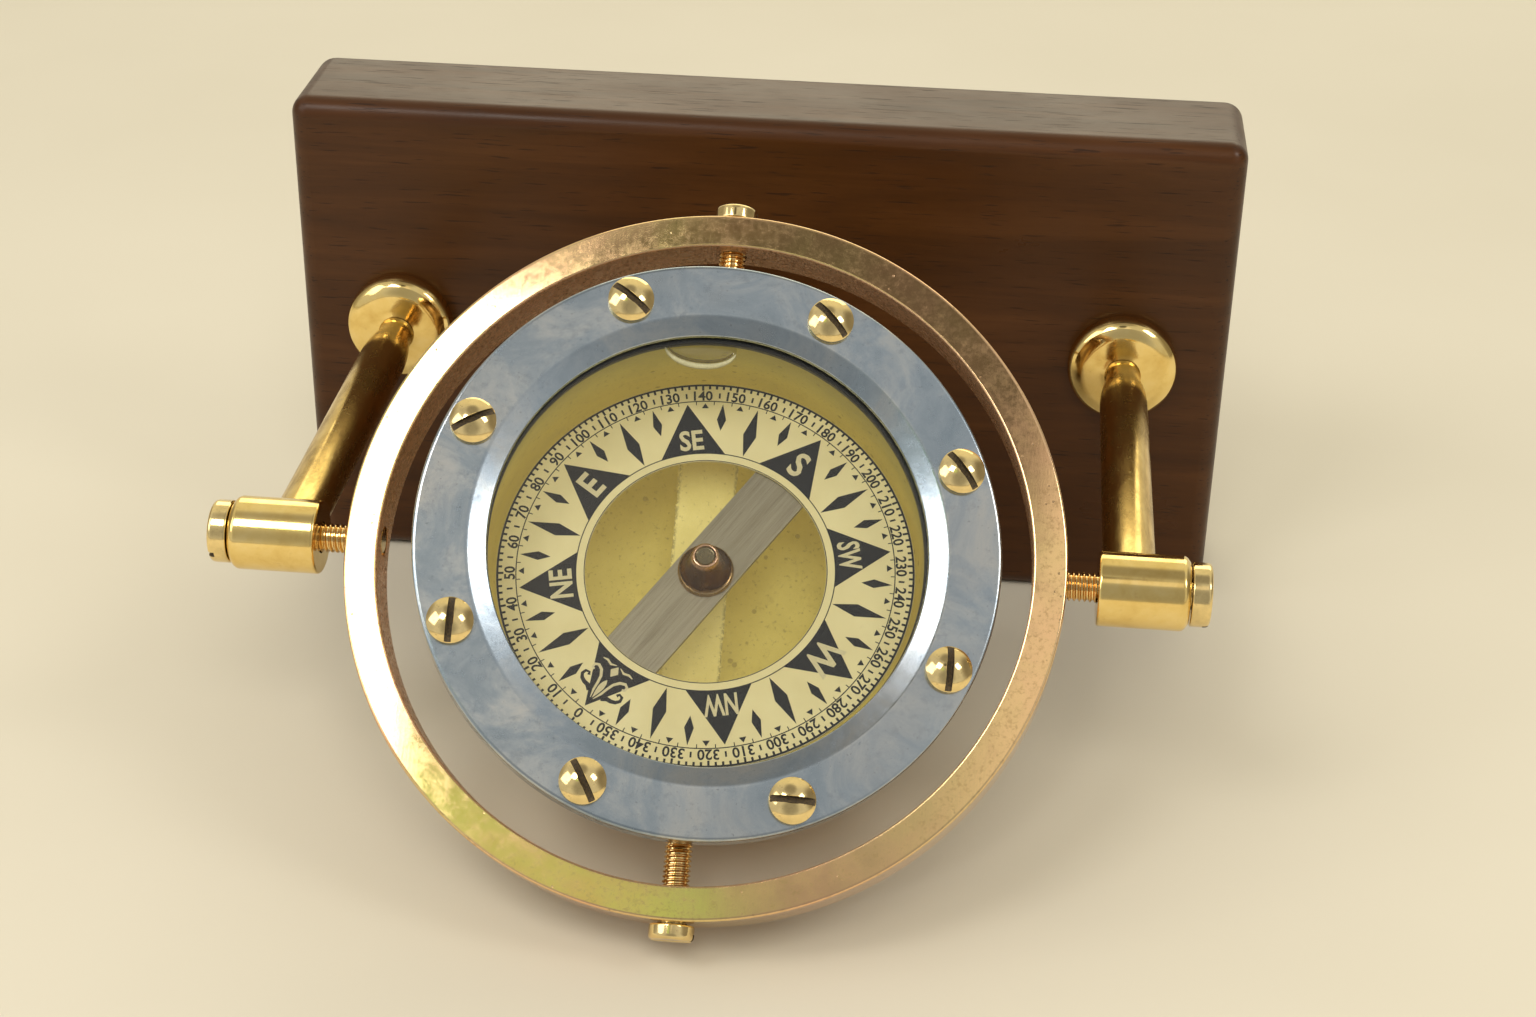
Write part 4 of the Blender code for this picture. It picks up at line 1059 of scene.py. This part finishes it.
def tick(shape, heading, inner, outer, half_width):
    """A radial line, half_width millimetres to each side of its middle."""
    wide, slim = (degrees(half_width / (CARD_RADIUS * share)) for share in (inner, outer))
    add_prism(shape, [card_point(share, heading + turn) for share, turn in
                      ((inner, -wide), (outer, -slim), (outer, slim), (inner, wide))], *BLACK)


def letters(shape, text, heading, share, height, levels, bold=0.0, squeeze=1.0):
    """Adds text to the card, its middle at a share of the radius and its top facing outwards."""
    curve = bpy.data.curves.new("letters", "FONT")
    curve.body = text
    curve.align_x = curve.align_y = "CENTER"
    curve.offset = bold
    curve.resolution_u = 3
    holder = bpy.data.objects.new("letters", curve)
    bpy.context.scene.collection.objects.link(holder)
    bpy.context.view_layer.update()
    graph = bpy.context.evaluated_depsgraph_get()
    flat = bpy.data.meshes.new_from_object(holder.evaluated_get(graph))
    letter = bmesh.new()
    letter.from_mesh(flat)
    bpy.data.objects.remove(holder)
    bpy.data.curves.remove(curve)
    bpy.data.meshes.remove(flat)
    low, high = (Vector([pick(vert.co[axis] for vert in letter.verts) for axis in (0, 1)])
                 for pick in (min, max))
    middle, scale = (low + high) / 2, height / (high.y - low.y)
    bmesh.ops.dissolve_limit(letter, angle_limit=0.01, verts=letter.verts, edges=letter.edges)
    top = bmesh.ops.extrude_face_region(letter, geom=letter.faces[:])
    raised = {item for item in top["geom"] if isinstance(item, bmesh.types.BMVert)}
    place = at(*card_point(share, heading)) @ about_z(CARD_NORTH - heading - QUARTER)
    for vert in letter.verts:
        x, y = (vert.co.xy - middle) * scale
        vert.co = place @ Vector((x * squeeze, y, levels[vert in raised]))
    return joined(shape, facing_out(letter))


def point_star(shape, heading, inner, outer, half_angle, widest=None):
    """A printed point of the rose: a triangle, or a diamond where widest is given."""
    if widest is None:
        outline = [card_point(inner, heading - half_angle * (1 - i / 4)) for i in range(8 + 1)]
        outline.append(card_point(outer, heading))
    else:
        outline = [card_point(inner, heading), card_point(widest, heading + half_angle),
                   card_point(outer, heading), card_point(widest, heading - half_angle)]
    add_prism(shape, outline, *BLACK)


def card_print():
    """The black printing: degree ring, numbers, circles and the points of the rose."""
    shape = bmesh.new()
    for inner, outer in ((0.988, 0.998), (0.902, 0.907), (0.617, 0.622), (0.578, 0.582)):
        annulus(shape, inner, outer)
    for degree in range(0, 360, 2):
        tick(shape, degree, 0.964 if degree % 10 == 0 else 0.971, 0.992, 0.24)
    for degree in range(5, 360, 10):
        tick(shape, degree, 0.922, 0.950, 0.20)
    for number in range(64):
        heading = number * 360 / 64
        if number % 8 == 0:
            point_star(shape, heading, 0.622, 0.890, 14.4)
        elif number % 4 == 0:
            point_star(shape, heading, 0.628, 0.892, 2.5, widest=0.745)
        elif number % 2 == 0:
            point_star(shape, heading, 0.745, 0.892, 1.6, widest=0.805)
        else:
            point_star(shape, heading, 0.866, 0.893, 1.15)
    ribbons(shape, [(1.6, 36.4), (2.6, 35.6), (3.6, 35.5), (4.5, 35.1), (5.1, 34.3), (4.9, 33.4),
                    (4.1, 33.2), (3.8, 33.8)], [0.9, 1.0, 0.9, 0.8, 0.7, 0.6, 0.5, 0.7], BLACK)
    for number in range(1, 128, 2):
        tick(shape, number * 360 / 128, 0.884, 0.902, 0.10)
    for degree in range(0, 360, 10):
        shape = letters(shape, str(degree), degree, 0.9345, 2.35, BLACK, bold=0.022)
    piece("card_printing", facing_out(shape), CARD_FRAME, BLACK_INK, "card", "cream_card")


def card_names():
    """The cream names of the points, and a plain fleur-de-lis for north."""
    shape = bmesh.new()
    for heading, text in ((90, "E"), (180, "S"), (270, "W")):
        shape = letters(shape, text, heading, 0.716, 6.1, CREAM, 0.024, 0.88)
    for heading, text, squeeze in ((45, "NE", 0.80), (135, "SE", 0.84), (225, "SW", 0.66),
                                   (315, "NW", 0.60)):
        shape = letters(shape, text, heading, 0.692, 4.9, CREAM, 0.026, squeeze)
    fleur(shape)
    piece("card_lettering", facing_out(shape), CARD_FRAME, CREAM_INK, "card", "cream_card")


def ribbon(shape, points, widths, levels):
    """Adds a flat band along points given across and outwards along the north direction."""
    turn = Matrix.Rotation(radians(CARD_NORTH - QUARTER), 2)
    left, right = [], []
    for i, point in enumerate(points):
        side = heading_at(points, i).orthogonal().normalized() * widths[i] / 2
        left.append(turn @ (Vector(point) + side))
        right.append(turn @ (Vector(point) - side))
    add_prism(shape, left + right[::-1], *levels)


def ribbons(shape, points, widths, levels):
    """Adds a band and its mirror image."""
    for side in (-1, 1):
        ribbon(shape, [(side * x, y) for x, y in points], widths, levels)


def fleur(shape):
    """The cream part of a plain fleur-de-lis that marks north."""
    ribbon(shape, [(0, 32.4), (0, 33.2), (0, 34.3), (0, 35.6), (0, 37.2)],
           [0.2, 1.0, 1.3, 0.9, 0.1], CREAM)
    ribbon(shape, [(0, 28.7), (0, 30.0), (0, 31.3)], [0.1, 2.0, 0.1], CREAM)
    ribbons(shape, [(0.35, 37.4), (0.95, 35.6), (1.25, 33.9), (1.65, 32.4), (2.5, 31.2),
                    (3.6, 30.7), (4.35, 31.1), (4.3, 31.9), (3.75, 32.1)],
            [0.15, 0.5, 0.55, 0.6, 0.65, 0.65, 0.6, 0.5, 0.55], CREAM)
    ribbons(shape, [(0.5, 28.6), (1.7, 29.1), (2.9, 28.7), (3.9, 28.9)], [0.15, 0.5, 0.5, 0.2],
            CREAM)


def card():
    top, under = CARD_TOP, CARD_TOP - CARD_THICKNESS
    piece("card_ring",
          turned([(CARD_RADIUS, top, 0.12), (CARD_RADIUS, under, 0.12), (CARD_HOLE, under, 0.12),
                  (CARD_HOLE, top, 0.12)], 288, True, 2),
          CARD_FRAME, CARD_STOCK, "card", "cream_card", "compass_card")
    card_print()
    card_names()

    bar_top = under - SEAM
    piece("compass_needle_bar",
          block(2 * BAR_HALF_LENGTH, 2 * BAR_HALF_WIDTH, BAR_THICKNESS, 0.15, 2),
          CARD_FRAME @ about_z(CARD_NORTH) @ shift(z=bar_top - BAR_THICKNESS / 2), STEEL, "card",
          "bright_steel", "magnet_bar", cuts=[rod(4.4, -5, 5, 64)])

    base = bar_top + 0.02
    crown = base + CAP_HEIGHT
    piece("centre_cap",
          turned([(0, crown - 0.6), (CAP_TOP - 0.85, crown - 0.6, 0.2),
                  (CAP_TOP - 0.6, crown - 0.05, 0.25), (CAP_TOP, crown - 0.15, 0.3),
                  (CAP_TOP + 0.35, crown - 2.4, 0.9), (CAP_TOP + 1.5, base + 2.6, 1.6),
                  (CAP_BASE - 0.9, base + 1.2, 0.5), (CAP_BASE - 0.25, base + 1.0, 0.3),
                  (CAP_BASE, base, 0.4), (4.3, base), (1.7, -0.4), (1.7, 1.5), (0, 1.5)], 96),
          CARD_FRAME, COPPER, "card", "cap_copper", "card_cap")
    piece("jewel_cup", lathe([(0, 1.2), (1.4, 1.2), (1.4, 0), (1.0, 0), (0, 0.2)], 40), CARD_FRAME,
          RUBY, "jewel", "jewel", "cap_jewel")


# ---------------------------------------------------------------- assembly
board()
arm("left")
arm("right")
gimbal_ring()
gimbal_screws()
bowl_screws()
bowl_shell()
bezel()
bezel_screws()
glazing()
bubble()
bottom()
filler()
bridge()
card()


# ---------------------------------------------------------------- camera, light and floor
def camera():
    """The viewpoint: in front of the object, above it and a little to its right."""
    place = Vector((57.4, -596.4, 347.5)) * MM
    yaw, pitch, roll = radians(5.355), radians(-29.483), radians(1.004)
    forward = Vector((-sin(yaw) * cos(pitch), cos(yaw) * cos(pitch), sin(pitch)))
    flat_right = forward.cross(Vector((0, 0, 1))).normalized()
    flat_up = flat_right.cross(forward)
    right = flat_right * cos(roll) + flat_up * sin(roll)
    up = flat_up * cos(roll) - flat_right * sin(roll)
    data = bpy.data.cameras.new("camera")
    data.sensor_width = 36.0
    data.lens = 61.33
    data.clip_start = 0.01
    made = bpy.data.objects.new("camera", data)
    bpy.context.scene.collection.objects.link(made)
    made.matrix_world = frame_matrix(place, right, up, -forward)
    bpy.context.scene.camera = made


def floor():
    shape = bmesh.new()
    bmesh.ops.create_grid(shape, x_segments=1, y_segments=1, size=4.0)
    made = object_of("floor", shape)
    remember_place(made.data)
    s = Surface("pale_floor", roughness=0.75)
    s.base(s.noise(0.2, 3), (0.3, (0.655, 0.60, 0.48)), (0.7, (0.69, 0.635, 0.515)))
    made.data.materials.append(s.finish())


def towards(azimuth, elevation):
    """A direction from the object: azimuth 0 is straight in front of it, 90 is at its right."""
    level, up = polar(1.0, elevation)
    return Vector((level * sin(radians(azimuth)), -level * cos(radians(azimuth)), up))


def surroundings():
    """A soft warm room, with darker, brighter and tinted places that the metal reflects."""
    world = bpy.data.worlds.new("room")
    bpy.context.scene.world = world
    world.use_nodes = True
    nodes = Nodes(world.node_tree)
    direction = nodes.node("TexCoord", output="Generated")
    level = (0.66, 0.64, 0.59)
    for azimuth, elevation, full, fading, colour in (
            (180, 35, 20, 62, (0.85, 0.79, 0.60)), (100, 14, 16, 40, (0.28, 0.25, 0.20)),
            (-110, 12, 14, 36, (0.34, 0.31, 0.25)), (0, 88, 9, 24, (0.34, 0.32, 0.28)),
            (6, 22, 12, 36, (0.38, 0.37, 0.34)), (4, 56, 5, 10, (0.92, 0.84, 0.72)),
            (-8, 49, 3, 9, (0.42, 0.42, 0.36)), (-16, 48, 3, 7, (0.60, 0.76, 0.34)),
            (-6, 64.5, 4.6, 7.2, (0.14, 0.13, 0.10))):
        near = nodes.node("VectorMath", {0: direction, 1: towards(azimuth, elevation)}, "Value",
                          operation="DOT_PRODUCT")
        part = nodes.step(near, cos(radians(fading)), cos(radians(full)))
        level = nodes.mix(part, level, colour)
    nodes.feed(level, world.node_tree.nodes["Background"].inputs["Color"])


def area_light(name, azimuth, elevation, distance, width, height, power, colour):
    """A rectangular light that shines at the object's middle; distances are in metres."""
    data = bpy.data.lights.new(name, "AREA")
    data.shape = "RECTANGLE"
    data.size, data.size_y, data.energy, data.color = width, height, power, colour
    made = bpy.data.objects.new(name, data)
    bpy.context.scene.collection.objects.link(made)
    middle = Vector((0, -0.12, 0.06))
    place = middle + distance * towards(azimuth, elevation)
    made.location = place
    made.rotation_euler = (middle - place).to_track_quat("-Z", "Y").to_euler()
    made.visible_glossy = name != "soft_fill"


camera()
floor()
surroundings()
for light in (("window_left", -36, 54.5, 1.42, 0.40, 0.42, 3.8, (1.0, 0.98, 0.95)),
              ("window_low_left", -62, 34, 1.42, 0.75, 0.75, 3.5, (1.0, 0.97, 0.92)),
              ("window_right", 68, 43, 1.42, 0.34, 0.44, 2.8, (1.0, 0.97, 0.92)),
              ("window_back", 177, 30, 1.75, 1.6, 0.8, 7.0, (1.0, 0.93, 0.70)),
              ("soft_fill", 6, 46, 1.75, 0.8, 0.7, 11.8, (1.0, 0.97, 0.91))):
    area_light(*light)
bpy.context.scene.view_settings.view_transform = "Standard"
